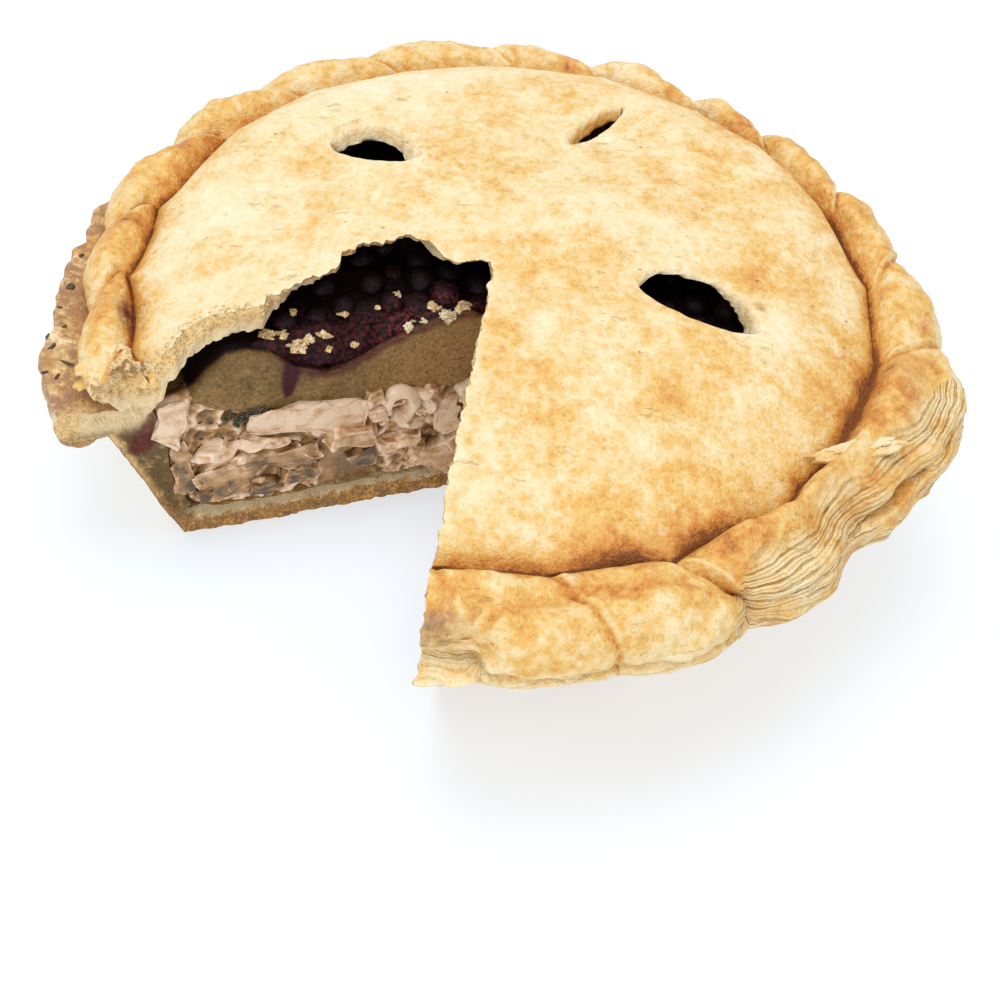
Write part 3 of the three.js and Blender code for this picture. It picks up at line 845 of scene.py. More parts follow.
def leaf(vent, shape):
    """A cutter for one steam vent: a leaf with a soft lip at the skin, wider below the wall that shows."""
    middle, length, over, under, turn, plain, thicker, pointed = vent
    half = length / 2
    outline = []
    for sign, depth in ((-1.0, under), (1.0, over)):
        for count in range(VENT_POINTS):
            t = count / VENT_POINTS
            bow = 3 * t * (1 - t)
            reach = 0.75 * half * bow
            along = half * (1 - t) ** 3 + reach * (1 - t) - reach * t - half * t ** 3
            left = (t - 0.5) * sign > 0.0
            deep = 0.75 * (bow / 0.75) ** pointed if left else bow
            outline.append(Vector((sign * along, sign * 1.33 * depth * deep, 0.0)))
    bm = bmesh.new()
    number = bm.verts.layers.float.new("number")
    ring = []
    for count, place in enumerate(outline):
        ring.append(bm.verts.new(place + Vector((0, 0, VENT_LOW))))
        ring[-1][number] = count
    raised(bm, ring, [VENT_STEP] * VENT_STEPS)
    place = Matrix.Translation(middle) @ Matrix.Rotation(math.radians(turn), 4, "Z")
    for vert in bm.verts:
        count = round(vert[number])
        wall = plain * (1.0 + thicker * smooth(outline[count].x / half, -0.1, 0.8))
        tangent = outline[(count + 1) % len(outline)] - outline[count - 1]
        outward = Vector((tangent.y, -tangent.x, 0.0)).normalized()
        spot = place @ vert.co
        below = shape.dome(spot.xy.length, bearing(spot)) - spot.z
        far = smooth(outward.y, -0.3, 0.3)
        soft = 1.2 + 0.6 * far
        sink = min(max(soft - below, 0.0), soft)
        flare = soft - math.sqrt(max(soft * soft - sink * sink, 0.0))
        deeper = max(below - wall + 0.8 * grain(spot, 5.0, 59.0), 0.0)
        flare += (1.0 + 0.6 * far) * deeper - 0.6 * far * min(below, wall)
        rough = grains(spot, (0.3, 2.2, 51.0), (0.4, 6.0, 53.0))
        vert.co = place @ (vert.co + outward * (flare + rough))
    bmesh.ops.recalc_face_normals(bm, faces=bm.faces)
    for face in bm.faces:
        spot = face.calc_center_median()
        below = shape.dome(spot.xy.length, bearing(spot)) - spot.z
        face.material_index = 1 if below > 1.9 * plain else 0
    return bm


def carve(bm, cutters, finishes):
    """Cuts the shapes of some closed cutters out of a closed shape."""
    body = temporary("uncut", bm, finishes)
    tools = []
    for count, cutter in enumerate(cutters):
        tools.append(temporary(f"cutter_{count}", cutter, finishes))
        cut = body.modifiers.new("cut", "BOOLEAN")
        cut.operation = "DIFFERENCE"
        cut.solver = "MANIFOLD"
        cut.object = tools[-1]
    seen = body.evaluated_get(bpy.context.evaluated_depsgraph_get())
    mesh = bpy.data.meshes.new_from_object(seen)
    made = bmesh.new()
    made.from_mesh(mesh)
    bpy.data.meshes.remove(mesh)
    for piece in [body, *tools]:
        data = piece.data
        bpy.data.objects.remove(piece)
        bpy.data.meshes.remove(data)
    if not made.faces:
        raise RuntimeError("the cut left nothing")
    made.normal_update()
    return made


def temporary(name, bm, finishes):
    """An object in the scene that takes over a mesh."""
    mesh = bpy.data.meshes.new(name)
    bm.to_mesh(mesh)
    bm.free()
    for finish in finishes:
        mesh.materials.append(finish)
    piece = bpy.data.objects.new(name, mesh)
    bpy.context.scene.collection.objects.link(piece)
    return piece


def serve(bm, name, finishes, nodes=(), crease=55.0):
    """Makes a finished piece of a mesh drawn about the rim's axis, and hands it to the frame."""
    bmesh.ops.transform(bm, matrix=TO_FRAME, verts=bm.verts)
    piece = temporary(name, bm, finishes)
    piece.data.shade_smooth()
    piece.data.set_sharp_from_angle(angle=math.radians(crease))
    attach(piece, "root")
    if nodes:
        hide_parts(*nodes)
    return piece


def painted(bm, **rules):
    """Writes one named value to each point of a mesh for each rule."""
    bm.normal_update()
    for name, rule in rules.items():
        layer = bm.verts.layers.float.new(name)
        for vert in bm.verts:
            vert[layer] = rule(vert.co, vert.normal)


def paint_crease_shade(bm, rounds):
    """Writes to each point how hollow the surface is there: above 0 in creases, below 0 on ridges; the
    finishes paint shade from it into creases and a highlight onto ridges.
    """
    bm.normal_update()
    layer = bm.verts.layers.float.new("hollow")
    for vert in bm.verts:
        ways = [(edge.other_vert(vert).co - vert.co).normalized() for edge in vert.link_edges]
        vert[layer] = sum(way.dot(vert.normal) for way in ways) / max(len(ways), 1)
    for _ in range(rounds):
        means = []
        for vert in bm.verts:
            around = [edge.other_vert(vert)[layer] for edge in vert.link_edges]
            means.append(sum(around) / max(len(around), 1))
        for vert, mean in zip(bm.verts, means):
            vert[layer] = 0.5 * (vert[layer] + mean)


def crumbly(size, seed):
    """A rule that pushes a cut face back and forth as torn pastry does."""
    def push(run, place):
        return size * grains(place, (1.0, 3.4, seed), (0.75, 1.5, seed + 2.0), (0.6, 9.0, seed + 4.0))
    return push


def lid_stations():
    """The stations of the lid's section: the dome, the crimped roll, the seam and the underside."""
    dome = ramp_list(0.0, 15.0, 3.0) + ramp_list(15.0, 96.0, 1.5)[1:] + ramp_list(96.0, 103.2, 0.9)[1:]
    stations = [("dome", radius) for radius in dome]
    roll = curve_through(
        [
            (0.0, 63.0, 63.0, 0.0, 0.0), (0.14, 65.0, 65.2, 1.6, 0.0), (0.34, 66.5, 66.5, 3.4, 0.0),
            (0.58, 66.2, 65.6, 3.8, 0.1), (0.82, 64.6, 62.4, 3.2, 0.4), (0.96, 62.4, 58.6, 2.0, 0.8),
            (1.0, 60.4, 55.0, 0.6, 1.0), (0.94, 58.9, 53.0, 0.0, 1.0),
        ],
        [6, 7, 8, 10, 10, 8, 5],
    )
    stations += [("roll", *point) for point in roll]
    stations += [("seam", share) for share in (0.7, 0.4, 0.1)]
    stations += [("under", radius) for radius in (95, 88, 78, 66, 54, 42, 30, 20, 10, 0)]
    return stations


def lid_place(shape, stations):
    """A rule for where each station of the lid's section lies at a bearing."""
    def place(degrees, count):
        kind, *how = stations[count]
        if kind == "dome":
            radius = how[0]
            height = shape.dome(radius, degrees)
            ring = shape.ring_at(degrees)
            radius += (ring - shape.valley) * (radius / shape.valley) ** 3
            radius += (shape.valley_at(degrees) - ring) * smooth(how[0], 97.0, 103.5)
            spot = polar(degrees, radius, height)
            calm = 1.0 - smooth(radius, 92.0, 104.0)
            swell = grains(spot, (1.3, 36.0, 1.0), (0.5, 12.0, 3.0), (0.16, 4.5, 5.0))
            return spot + Vector((0, 0, swell * calm))
        if kind == "roll":
            return shape.crimp(degrees, *how)
        if kind == "seam":
            edge = shape.crimp(degrees, 0.94, 58.9, 53.0, 0.0, 1.0)
            outer = edge.xy.length
            radius = LID_SEAM + (outer - LID_SEAM) * how[0]
            hang = min(edge.z - shape.seam(outer) - 0.5, 0.0) * smooth(how[0], 0.3, 1.0)
            return polar(degrees, radius, shape.seam(radius) + 0.2 + hang)
        radius = how[0]
        spot = polar(degrees, radius, shape.dome(radius) - shape.lid_thick)
        return spot + Vector((0, 0, 0.5 * grain(spot, 9.0, 8.0)))
    return place


def bake_of(shape):
    """How brown the pastry's skin is at a place."""
    def bake(place, normal):
        radius = place.xy.length
        degrees = bearing(place)
        off = radius - shape.valley_at(degrees)
        patchy = grain(Vector((degrees * 0.6, 0, 0)), 9.0, 61.0)
        if place.z < 60.0 and radius > 60.0 and off < 6.0:
            return 0.52 + 0.12 * grain(place, 16.0, 63.0) + 0.3 * (1.0 - smooth(place.z, 0.0, 6.0))
        brown = 0.285 + 0.08 * grain(place, 30.0, 65.0)
        brown += 0.16 * smooth(place.x, -40.0, 60.0) * smooth(-place.y, -40.0, 40.0)
        brown += 0.1 * smooth(place.x, 10.0, 70.0) * smooth(place.y, -10.0, 50.0)
        brown -= 0.05 * smooth(-place.x, 20.0, 80.0) + 0.06 * smooth(place.y, 50.0, 90.0)
        line = hump(off, -0.6, 2.3)
        glow = hump(off, -2.0, 6.0)
        brown += (0.36 * line + 0.16 * glow) * (0.75 + 0.4 * patchy)
        brown += 0.36 * between(VALLEY_DARK, degrees) * hump(off, 0.3, 0.9)
        sunk = shape.dome(radius, degrees) - place.z
        # Painted shade: browner the deeper inside the back-right slit vent.
        brown += 0.45 * near(place, 23.0, 71.0, 15.0) * smooth(sunk, 0.8, 2.6)
        brown -= 0.4 * near(place, 73.0, -15.0, 10.0) - 0.26 * near(place, 66.0, 6.0, 6.0)
        if off > 0.0:
            swell = shape.flute(degrees)[1]
            brown += 0.04
            crest = smooth(place.z, 63.0, 68.5) * smooth(normal.z, 0.2, 0.9)
            brown += 0.14 * crest * (1.0 + grain(place, 7.0, 67.0))
            brown += 0.16 * stretch(degrees, 100.0, 140.0, 165.0, 185.0)
            brown += 0.2 * (1.0 - swell) ** 2 * smooth(off, 1.0, 6.0)
            brown -= 0.06 * smooth(-normal.z, -0.4, 0.4)
            # Painted shade: browner inside the torn hollow at the front end of the roll, most at one spot in
            # it.
            cave_shade = shape.torn_end(place, degrees) * smooth(66.5 - place.z, 0.0, 3.0)
            cave_shade *= smooth(place.z, 53.0, 56.0)
            brown += cave_shade * (0.1 + 0.3 * near(place, -10.5, -113.0, 5.0))
        return clamp(brown)
    return bake


def layer_of(shape):
    """Rules for the count of the pastry's layers across the rim, and for how plainly they show."""
    def count(place, normal):
        return shape.layers(place)[0] if place.xy.length > ROLL_START else 0.0

    def shown(place, normal):
        return min(shape.layers(place)[1], 1.0) if place.xy.length > ROLL_START else 0.0

    return count, shown


def height_under(piece, x, y, start):
    """Height of a piece's surface straight below a place, or None where the piece isn't."""
    found, place, *_ = piece.ray_cast(TO_FRAME @ Vector((x, y, start)), Vector((0, 0, -1)))
    return place.z * 1000 if found else None


def near(place, x, y, size):
    """How near a place is to a spot seen from above: 1 there, falling off over the size."""
    return math.exp(-((place.x - x) ** 2 + (place.y - y) ** 2) / (size * size))


def crust_stain(place, normal):
    """Juice that boiled out through the seam, the vents and the cut."""
    along = abs(bearing(place) - SEEP_BEARING) * 1.8
    away = place.xy.length - SEEP_RADIUS
    seep = 1.1 * math.exp(-(along / 6.0) ** 2 - (away / 2.0) ** 2)
    return min(seep + sum(0.6 * near(place, *spot) for spot in SEEPS), 1.0)


def crust_raw(place, normal):
    """Soft grey dough on the torn front end of the roll."""
    torn = PieShape.torn_end(place, bearing(place))
    outer = smooth(place.xy.length, 106.0, 111.0) * smooth(place.z, 52.0, 55.0)
    return 0.35 * torn * smooth(66.0 - place.z, 0.0, 4.0) * outer


def measure(name, words, default):
    """A setting that is a length in metres."""
    return FloatProperty(name=name, description=words, default=default, unit="LENGTH")


class PieSizes(bpy.types.PropertyGroup):
    """Sizes of the pie."""

    base_radius: measure("Base radius", "Radius of the case's flat base", 0.089)
    wall_radius: measure("Wall radius", "Radius of the case at the top of its wall", 0.1115)
    wall_height: measure("Wall height", "Height of the case's wall under the rim", 0.043)
    crust_floor: measure("Floor thickness", "Thickness of the bottom crust", 0.0088)
    valley_radius: measure("Valley radius", "Radius of the groove between dome and rim", 0.104)
    valley_height: measure("Valley height", "Height of the groove between dome and rim", 0.063)
    lid_top: measure("Lid top", "Height of the dome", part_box("pastry_lid")[1][2])
    lid_thickness: measure("Lid thickness", "Thickness of the lid's dome", 0.007)
    pinch_depth: measure("Pinch depth", "How far each pinch presses into the rim", 0.006)
    flake_depth: measure("Flake depth", "Depth of the grooves between pastry layers", 0.0006)
    crumb_depth: measure("Crumb depth", "Roughness of cut and broken pastry", 0.0008)


def tint(name, words, default):
    """A setting that is a colour."""
    return FloatVectorProperty(
        name=name, description=words, default=default, subtype="COLOR", size=3, min=0.0, max=1.0)


class PieColours(bpy.types.PropertyGroup):
    """Colours of the pie."""

    flour: tint("Flour", "Palest spots of the crust", (0.90, 0.79, 0.55))
    cream: tint("Cream", "Pale crust", (0.86, 0.69, 0.40))
    gold: tint("Gold", "Golden crust", (0.775, 0.48, 0.135))
    toast: tint("Toast", "Brown crust", (0.65, 0.26, 0.045))
    scorch: tint("Scorch", "Darkest crust", (0.26, 0.085, 0.02))
    dough: tint("Dough", "Soft pastry beside the filling", (0.80, 0.63, 0.37))
    soaked: tint("Soaked crust", "Crust that gravy ran over", (0.37, 0.195, 0.10))
    base_crust: tint("Base crust", "Crumbly bottom crust", (0.25, 0.112, 0.035))
    # Darker than dough soaked in gravy alone: partly painted shade, on the cut wall of the case and in the
    # torn end of the roll.
    shaded_wet_dough: tint("Wet dough", "Dough that took up gravy", (0.155, 0.095, 0.033))
    crumb: tint("Crumb", "Broken pastry", (0.86, 0.60, 0.27))
    turkey: tint("Turkey", "Pale turkey", (0.65, 0.40, 0.22))
    turkey_white: tint("Turkey fibre", "Palest fibres of the turkey", (0.82, 0.62, 0.44))
    turkey_brown: tint("Turkey in gravy", "Turkey coated in gravy", (0.43, 0.235, 0.09))
    gravy: tint("Gravy", "Set gravy", (0.235, 0.135, 0.058))
    gravy_dark: tint("Dark gravy", "Gravy in the hollows", (0.10, 0.056, 0.02))
    stuffing: tint("Stuffing", "Stuffing", (0.275, 0.163, 0.055))
    stuffing_dark: tint("Dark stuffing", "Greener patches of the stuffing", (0.118, 0.074, 0.022))
    herb: tint("Herb", "Cooked herb", (0.03, 0.035, 0.018))
    # The cranberry and juice colours are darker than the fruit itself: painted shade of the space under the
    # lid.
    cranberry: tint("Cranberry", "Cooked cranberry skin", (0.006, 0.002, 0.003))
    seep: tint("Baked juice", "Juice that baked onto the crust", (0.12, 0.018, 0.014))
    juice: tint("Juice", "Cranberry juice", (0.045, 0.005, 0.010))
    pulp: tint("Pulp", "Cranberry pulp", (0.23, 0.04, 0.048))


class StudioSettings(bpy.types.PropertyGroup):
    """The floor, the light and the camera."""

    floor: tint("Floor", "Colour of the studio floor", (0.42, 0.46, 0.50))
    glow: tint("Glow", "Even light from the floor, as a lit sweep gives it", (0.515, 0.535, 0.56))
    lamp: FloatProperty(
        name="Lamp", description="Power of the soft lamp overhead", default=6.0, unit="POWER")
    fill: FloatProperty(
        name="Fill", description="Power of the soft fill from the front", default=6.0, unit="POWER")
    sky: FloatProperty(
        name="Sky", description="Brightness of the white surround", default=0.85)
    camera_place: FloatVectorProperty(
        name="Camera place", description="Where the camera stands",
        default=(-0.0028, -0.4565, 0.4605), subtype="TRANSLATION", unit="LENGTH")
    camera_aim: FloatVectorProperty(
        name="Camera aim", description="The point in the middle of the picture",
        default=(0.0010, -0.0513, 0.0400), subtype="TRANSLATION", unit="LENGTH")
    camera_roll: FloatProperty(
        name="Camera roll", description="Tilt of the camera about its view",
        default=math.radians(5.2), subtype="ANGLE")
    lens: FloatProperty(
        name="Lens", description="Focal length in millimetres", default=78.12, unit="CAMERA")


class PIE_OT_stage(bpy.types.Operator):
    """Adds the floor, the soft light and the camera"""

    bl_idname = "pie.stage"
    bl_label = "Stage"

    def lamp(self, scene, name, power, size, place):
        """Adds a round soft lamp that faces the pie."""
        light = bpy.data.lights.new(name, "AREA")
        light.shape = "DISK"
        light.size = size
        light.energy = power
        stand = bpy.data.objects.new(name, light)
        stand.location = place
        stand.rotation_euler = (Vector((0, 0, 0.05)) - place).to_track_quat("-Z", "Y").to_euler()
        scene.collection.objects.link(stand)

    def execute(self, context):
        scene = context.scene
        studio = scene.pie_studio
        bm = bmesh.new()
        bmesh.ops.create_grid(bm, x_segments=8, y_segments=8, size=4.0)
        floor = temporary("studio_floor", bm, [floor_finish(studio.floor, studio.glow)])
        floor.data.transform(Matrix.Translation((0, 0, -0.0002)))
        world = bpy.data.worlds.new("studio_surround")
        world.use_nodes = True
        sky = world.node_tree.nodes["Background"]
        sky.inputs["Color"].default_value = (1.0, 1.0, 1.0, 1.0)
        sky.inputs["Strength"].default_value = studio.sky
        scene.world = world
        self.lamp(scene, "soft_lamp", studio.lamp, 0.9, Vector((-0.08, 0.1, 1.2)))
        self.lamp(scene, "front_fill", studio.fill, 1.1, Vector((-0.25, -1.5, 0.45)))
        lens = bpy.data.cameras.new("camera")
        lens.lens = studio.lens
        lens.sensor_width = 36.0
        camera = bpy.data.objects.new("camera", lens)
        view = Vector(studio.camera_aim) - Vector(studio.camera_place)
        turn = view.to_track_quat("-Z", "Y").to_matrix().to_4x4()
        roll = Matrix.Rotation(studio.camera_roll, 4, "Z")
        camera.matrix_world = Matrix.Translation(studio.camera_place) @ turn @ roll
        scene.collection.objects.link(camera)
        scene.camera = camera
        scene.view_settings.view_transform = "Standard"
        return {"FINISHED"}


def case_stations(shape):
    """The stations of the case's section: its outside, the flange, the seam and its inside."""
    stations = [("turned", radius, 0.0) for radius in (0, 22, 44, 64, 77, 84, shape.base - 1)]
    stations += [("turned", shape.base + 0.4, 1.2)]
    for share in ramp_list(0.0, 1.0, 0.03)[1:]:
        radius = shape.base + 0.4 + (shape.wall - shape.base - 0.4) * share
        stations.append(("turned", radius, 1.2 + (shape.wall_height - 1.2) * share))
    lip = curve_through(
        [
            (0.0, 43.0, 0.0), (0.45, 45.8, 0.0), (0.86, 49.0, 0.0), (0.985, 52.0, 0.2), (1.0, 55.0, 0.5),
            (0.96, 57.4, 0.9), (0.84, 58.0, 1.0),
        ],
        [6, 8, 7, 7, 6, 4],
    )
    stations += [("flange", *point) for point in lip[1:]]
    stations += [("seam", share) for share in (0.7, 0.45, 0.2)]
    inner = [(97.5, 47.0), (95.8, 36.0), (94.0, 26.0), (91.0, 18.0), (87.0, 11.0), (78.0, 8.8)]
    for radius, height in [(SEAM_RADIUS, SEAM_HEIGHT), *inner]:
        stations.append(("turned", radius, height))
    stations += [("turned", radius, shape.floor) for radius in (60, 40, 20, 0)]
    return stations


def case_place(shape, stations):
    """A rule for where each station of the case's section lies at a bearing."""
    def place(degrees, count):
        kind, *how = stations[count]
        if kind == "turned":
            radius, height = how
            front = stretch(degrees, 240.0, 258.0, 285.0, 310.0)
            foot = front * smooth(radius, 60.0, 84.0) * (1.0 - smooth(height, 0.0, 18.0))
            spot = polar(degrees, radius - 4.5 * foot, height)
            rough = grains(spot, (0.5, 15.0, 41.0), (0.2, 5.0, 43.0))
            spot += heading(degrees) * rough * smooth(height, 0.5, 6.0) * smooth(radius, 60.0, 88.0)
        elif kind == "flange":
            spot = shape.flange(degrees, *how)
        else:
            edge = shape.flange(degrees, 0.84, 58.0, 1.0)
            outer = edge.xy.length
            radius = SEAM_RADIUS + (outer - SEAM_RADIUS) * how[0]
            fall = (edge.z - shape.seam(outer)) * how[0]
            spot = polar(degrees, radius, shape.seam(radius) - 0.2 + min(fall, 0.0))
        return spot + shape.slip(spot.z)
    return place


class PIE_OT_case(bpy.types.Operator):
    """Adds the pastry case with its flange, cut open"""

    bl_idname = "pie.case"
    bl_label = "Pastry case"

    def execute(self, context):
        shape = PieShape(context.scene.pie_sizes)
        colours = context.scene.pie_colours
        finishes = [crust_finish(colours), crumb_finish(colours)]
        stations = case_stations(shape)
        section = []
        for kind, *how in stations:
            if kind == "turned":
                section.append((how[0], how[1]))
            elif kind == "flange":
                section.append((shape.wall + 12.0 * how[0], how[1]))
            else:
                section.append((SEAM_RADIUS + 20.0 * how[0], SEAM_HEIGHT + 6.2 * how[0]))
        finer = [PLAIN_CUTS if kind == "turned" else CRIMP_CUTS for kind, *_ in stations]
        bm = spun(section, ROUND_STEPS, finer)
        shaped(bm, case_place(shape, stations))
        bmesh.ops.recalc_face_normals(bm, faces=bm.faces)
        tear = crumbly(shape.crumb, 71.0)
        bm = carve(bm, [wedge([-6.0] + ramp_list(-1.0, 62.0, 0.8) + [70.0], 0.8, tear, tear)], finishes)

        def depth(spot, normal):
            spot = spot - shape.slip(spot.z)
            radius = spot.xy.length
            skin = shape.base + (shape.wall - shape.base) * spot.z / shape.wall_height - radius
            if spot.z > 44.0:
                return min(max(0.12 + 0.05 * (128.0 - radius), 0.0), 0.7)
            return clamp(min(spot.z / shape.floor, skin / 9.5))

        def seep(spot, normal):
            """Juice that ran down the cut wall, and what boiled out at the rim."""
            run, behind = shape.off_left_cut(spot)
            trail = hump(run - 92.5 - 0.5 * (50.0 - spot.z), 0.0, 3.4)
            juice = 1.5 * trail * stretch(spot.z, 33.0, 38.0, 49.0, 52.0) * (behind < 3.0)
            return min(max(crust_stain(spot, normal) * smooth(spot.z, 58.0, 60.0), juice), 1.0)

        bake = bake_of(shape)

        def soak(spot, normal):
            """Gravy that ran over the left flange."""
            over = shape.lip(bearing(spot)) * smooth(spot.z, 45.0, 49.0)
            return clamp(over * (0.95 + 0.5 * grain(spot, 9.0, 81.0)))

        def wet(spot, normal):
            """Gravy in the dough of the wall, together with painted shade on the cut wall."""
            wall = 0.55 * smooth(spot.z, 4.5, 7.5) + 0.45 * smooth(spot.z, 9.0, 12.0)
            wall *= 1.0 - smooth(spot.z, 42.0, 48.0)
            return smooth(depth(spot, normal), 0.1, 0.35) * wall

        def crusty(spot, normal):
            """The bottom crust and the outer edge of the wall, baked to brown crumbs."""
            return 1.0 - smooth(spot.z, 9.0, 44.0)

        def brown(spot, normal):
            """The bake, with darker patches on the left flange."""
            left = shape.lip(bearing(spot)) * smooth(spot.z, 44.0, 48.0)
            return bake(spot, normal) + left * (0.14 + 0.25 * grain(spot, 8.0, 85.0))

        count, shown = layer_of(shape)
        painted(
            bm, bake=brown, stain=seep, raw=crust_raw, depth=depth, soak=soak, wet=wet, crusty=crusty,
            strata=count, flaky=shown,
        )
        paint_crease_shade(bm, 2)
        serve(bm, "case", finishes, ["pastry_case"])
        return {"FINISHED"}


class PIE_OT_lid(bpy.types.Operator):
    """Adds the domed lid with its crimped roll, steam vents and broken edge"""

    bl_idname = "pie.lid"
    bl_label = "Pastry lid"

    def execute(self, context):
        shape = PieShape(context.scene.pie_sizes)
        finishes = [bpy.data.materials["pastry_crust"], bpy.data.materials["pastry_crumb"]]
        stations = lid_stations()
        section = []
        for kind, *how in stations:
            if kind == "dome":
                section.append((how[0], shape.dome(how[0])))
            elif kind == "roll":
                section.append((shape.valley + 17.0 * how[0], how[1] + how[3]))
            elif kind == "seam":
                section.append((LID_SEAM + 18.0 * how[0], 52.5 + 5.6 * how[0]))
            else:
                section.append((how[0], shape.dome(how[0]) - shape.lid_thick))
        finer = [CRIMP_CUTS if kind in ("roll", "seam") else PLAIN_CUTS for kind, *_ in stations]
        bm = spun(section, ROUND_STEPS, finer)
        shaped(bm, lid_place(shape, stations))
        bmesh.ops.recalc_face_normals(bm, faces=bm.faces)
        tear = crumbly(shape.crumb * 1.25, 75.0)

        def broken(run, spot):
            """How far behind the left cut the lid ends."""
            flat = CUT_POINT + heading(CUT_LEFT) * run
            skin = shape.dome(flat.xy.length)
            sunk = min(max((skin - spot.z) / shape.lid_thick, 0.0), 1.2)
            line = Vector((run, 0.0, 0.0))
            jag = grains(line, (1.2, 6.0, 77.0), (1.1, 2.6, 79.0), (0.9, 1.3, 83.0))
            jag *= smooth(run, 0.0, 4.0) * (1.0 - 0.6 * smooth(run, 88.0, 98.0))
            slope = between(UNDERCUT, run) * smooth(sunk, 0.04, 0.8) - between(SLANT, run) * sunk
            rough = tear(run, spot) * (1.2 + 1.6 * smooth(run, 94.0, 101.0))
            return between(BROKEN, run) + slope + jag + rough

        levels = [40.0] + ramp_list(49.0, 84.0, 0.7) + [95.0]
        cutters = [wedge(levels, 0.7, broken, tear)] + [leaf(vent, shape) for vent in VENTS]
        hollow = bmesh.new()
        bmesh.ops.create_icosphere(
            hollow, subdivisions=4, radius=8.0, matrix=Matrix.Translation((-2.0, 3.2, 72.6)),
        )
        for vert in hollow.verts:
            vert.co += Vector.Fill(3, 0.5 * grain(vert.co, 3.0, 17.0))
        for face in hollow.faces:
            face.material_index = 1
        cutters.append(hollow)
        bm = carve(bm, cutters, finishes)

        def depth(spot, normal):
            radius = spot.xy.length
            if radius < 97.0:
                return clamp((shape.dome(radius, bearing(spot)) - spot.z) / shape.lid_thick)
            outer = 122.0 - radius
            return clamp(min(outer / 14.0, (67.0 - spot.z) / 12.0))

        def wet(spot, normal):
            """Painted shade: darker grey-brown in the hollow at the torn end of the roll."""
            high = stretch(spot.z, 54.0, 57.0, 62.0, 66.0)
            return 0.5 * near(spot, -8.5, -116.0, 5.5) * high

        def blush(spot, normal):
            """Juice on the lower edge of the vents' walls and of the break."""
            inside = depth(spot, normal)
            lip = 0.3 * near(spot, 58.0, -2.0, 15.0) * smooth(inside, 0.2, 0.45)
            edge = 0.55 * smooth(inside, 0.55, 0.95) * (0.4 + grain(spot, 6.0, 87.0))
            return max(crust_stain(spot, normal), lip, edge)

        count, shown = layer_of(shape)
        painted(
            bm, bake=bake_of(shape), stain=blush, raw=crust_raw, depth=depth, wet=wet,
            strata=count, flaky=shown,
        )
        paint_crease_shade(bm, 2)
        serve(bm, "lid", finishes, ["pastry_lid"])
        return {"FINISHED"}


class PIE_OT_turkey(bpy.types.Operator):
    """Adds the gravy that holds the turkey, as the cut shows it"""

    bl_idname = "pie.turkey"
    bl_label = "Turkey in gravy"

    def execute(self, context):
        shape = PieShape(context.scene.pie_sizes)
        finish = gravy_finish(context.scene.pie_colours)
        section = [
            (0, 9.2), (40, 9.2), (77.8, 9.2), (86.6, 11.4), (93.5, 26.1), (97, 47), (95.5, 50.5),
            (88.5, 51.5), (82, 47), (70, 43), (45, 41.5), (20, 41), (0, 41),
        ]
        bm = spun(section, 96)
        for vert in bm.verts:
            vert.co += shape.slip(vert.co.z)

        def lumpy(seed):
            """A rule that folds a cut face, calmer in the pool of gravy."""
            def push(run, place):
                fold = abs(grain(place, 7.0, seed + 2.0)) + 0.6 * abs(grain(place, 3.2, seed + 6.0))
                shred = 0.5 * grain(place, 1.5, seed + 4.0)
                pool = stretch(run, 30.0, 34.0, 46.0, 50.0)
                pool *= 1.0 - smooth(place.z, 23.0, 28.0)
                lumps = (2.8 * fold + shred) * (1.0 - 0.8 * pool)
                return 0.2 + grain(place, 11.0, seed) + lumps + 1.2 * pool
            return push

        levels = [-6.0] + ramp_list(5.0, 56.0, 0.7) + [62.0]
        bm = carve(bm, [wedge(levels, 0.7, lumpy(101.0), lumpy(107.0))], [finish, finish])

        def deep(spot, normal):
            """How far a place lies behind the nearer knife face."""
            behind = shape.off_left_cut(spot)[1]
            return smooth(max(behind, shape.behind_right_cut(spot)), -0.5, 4.0)

        # Painted shade, partly gravy: the finish darkens the turkey the further it lies behind the knife
        # face.
        painted(bm, deep=deep)
        paint_crease_shade(bm, 2)
        serve(bm, "turkey_in_gravy", [finish], ["turkey_filling"], 80.0)
        return {"FINISHED"}


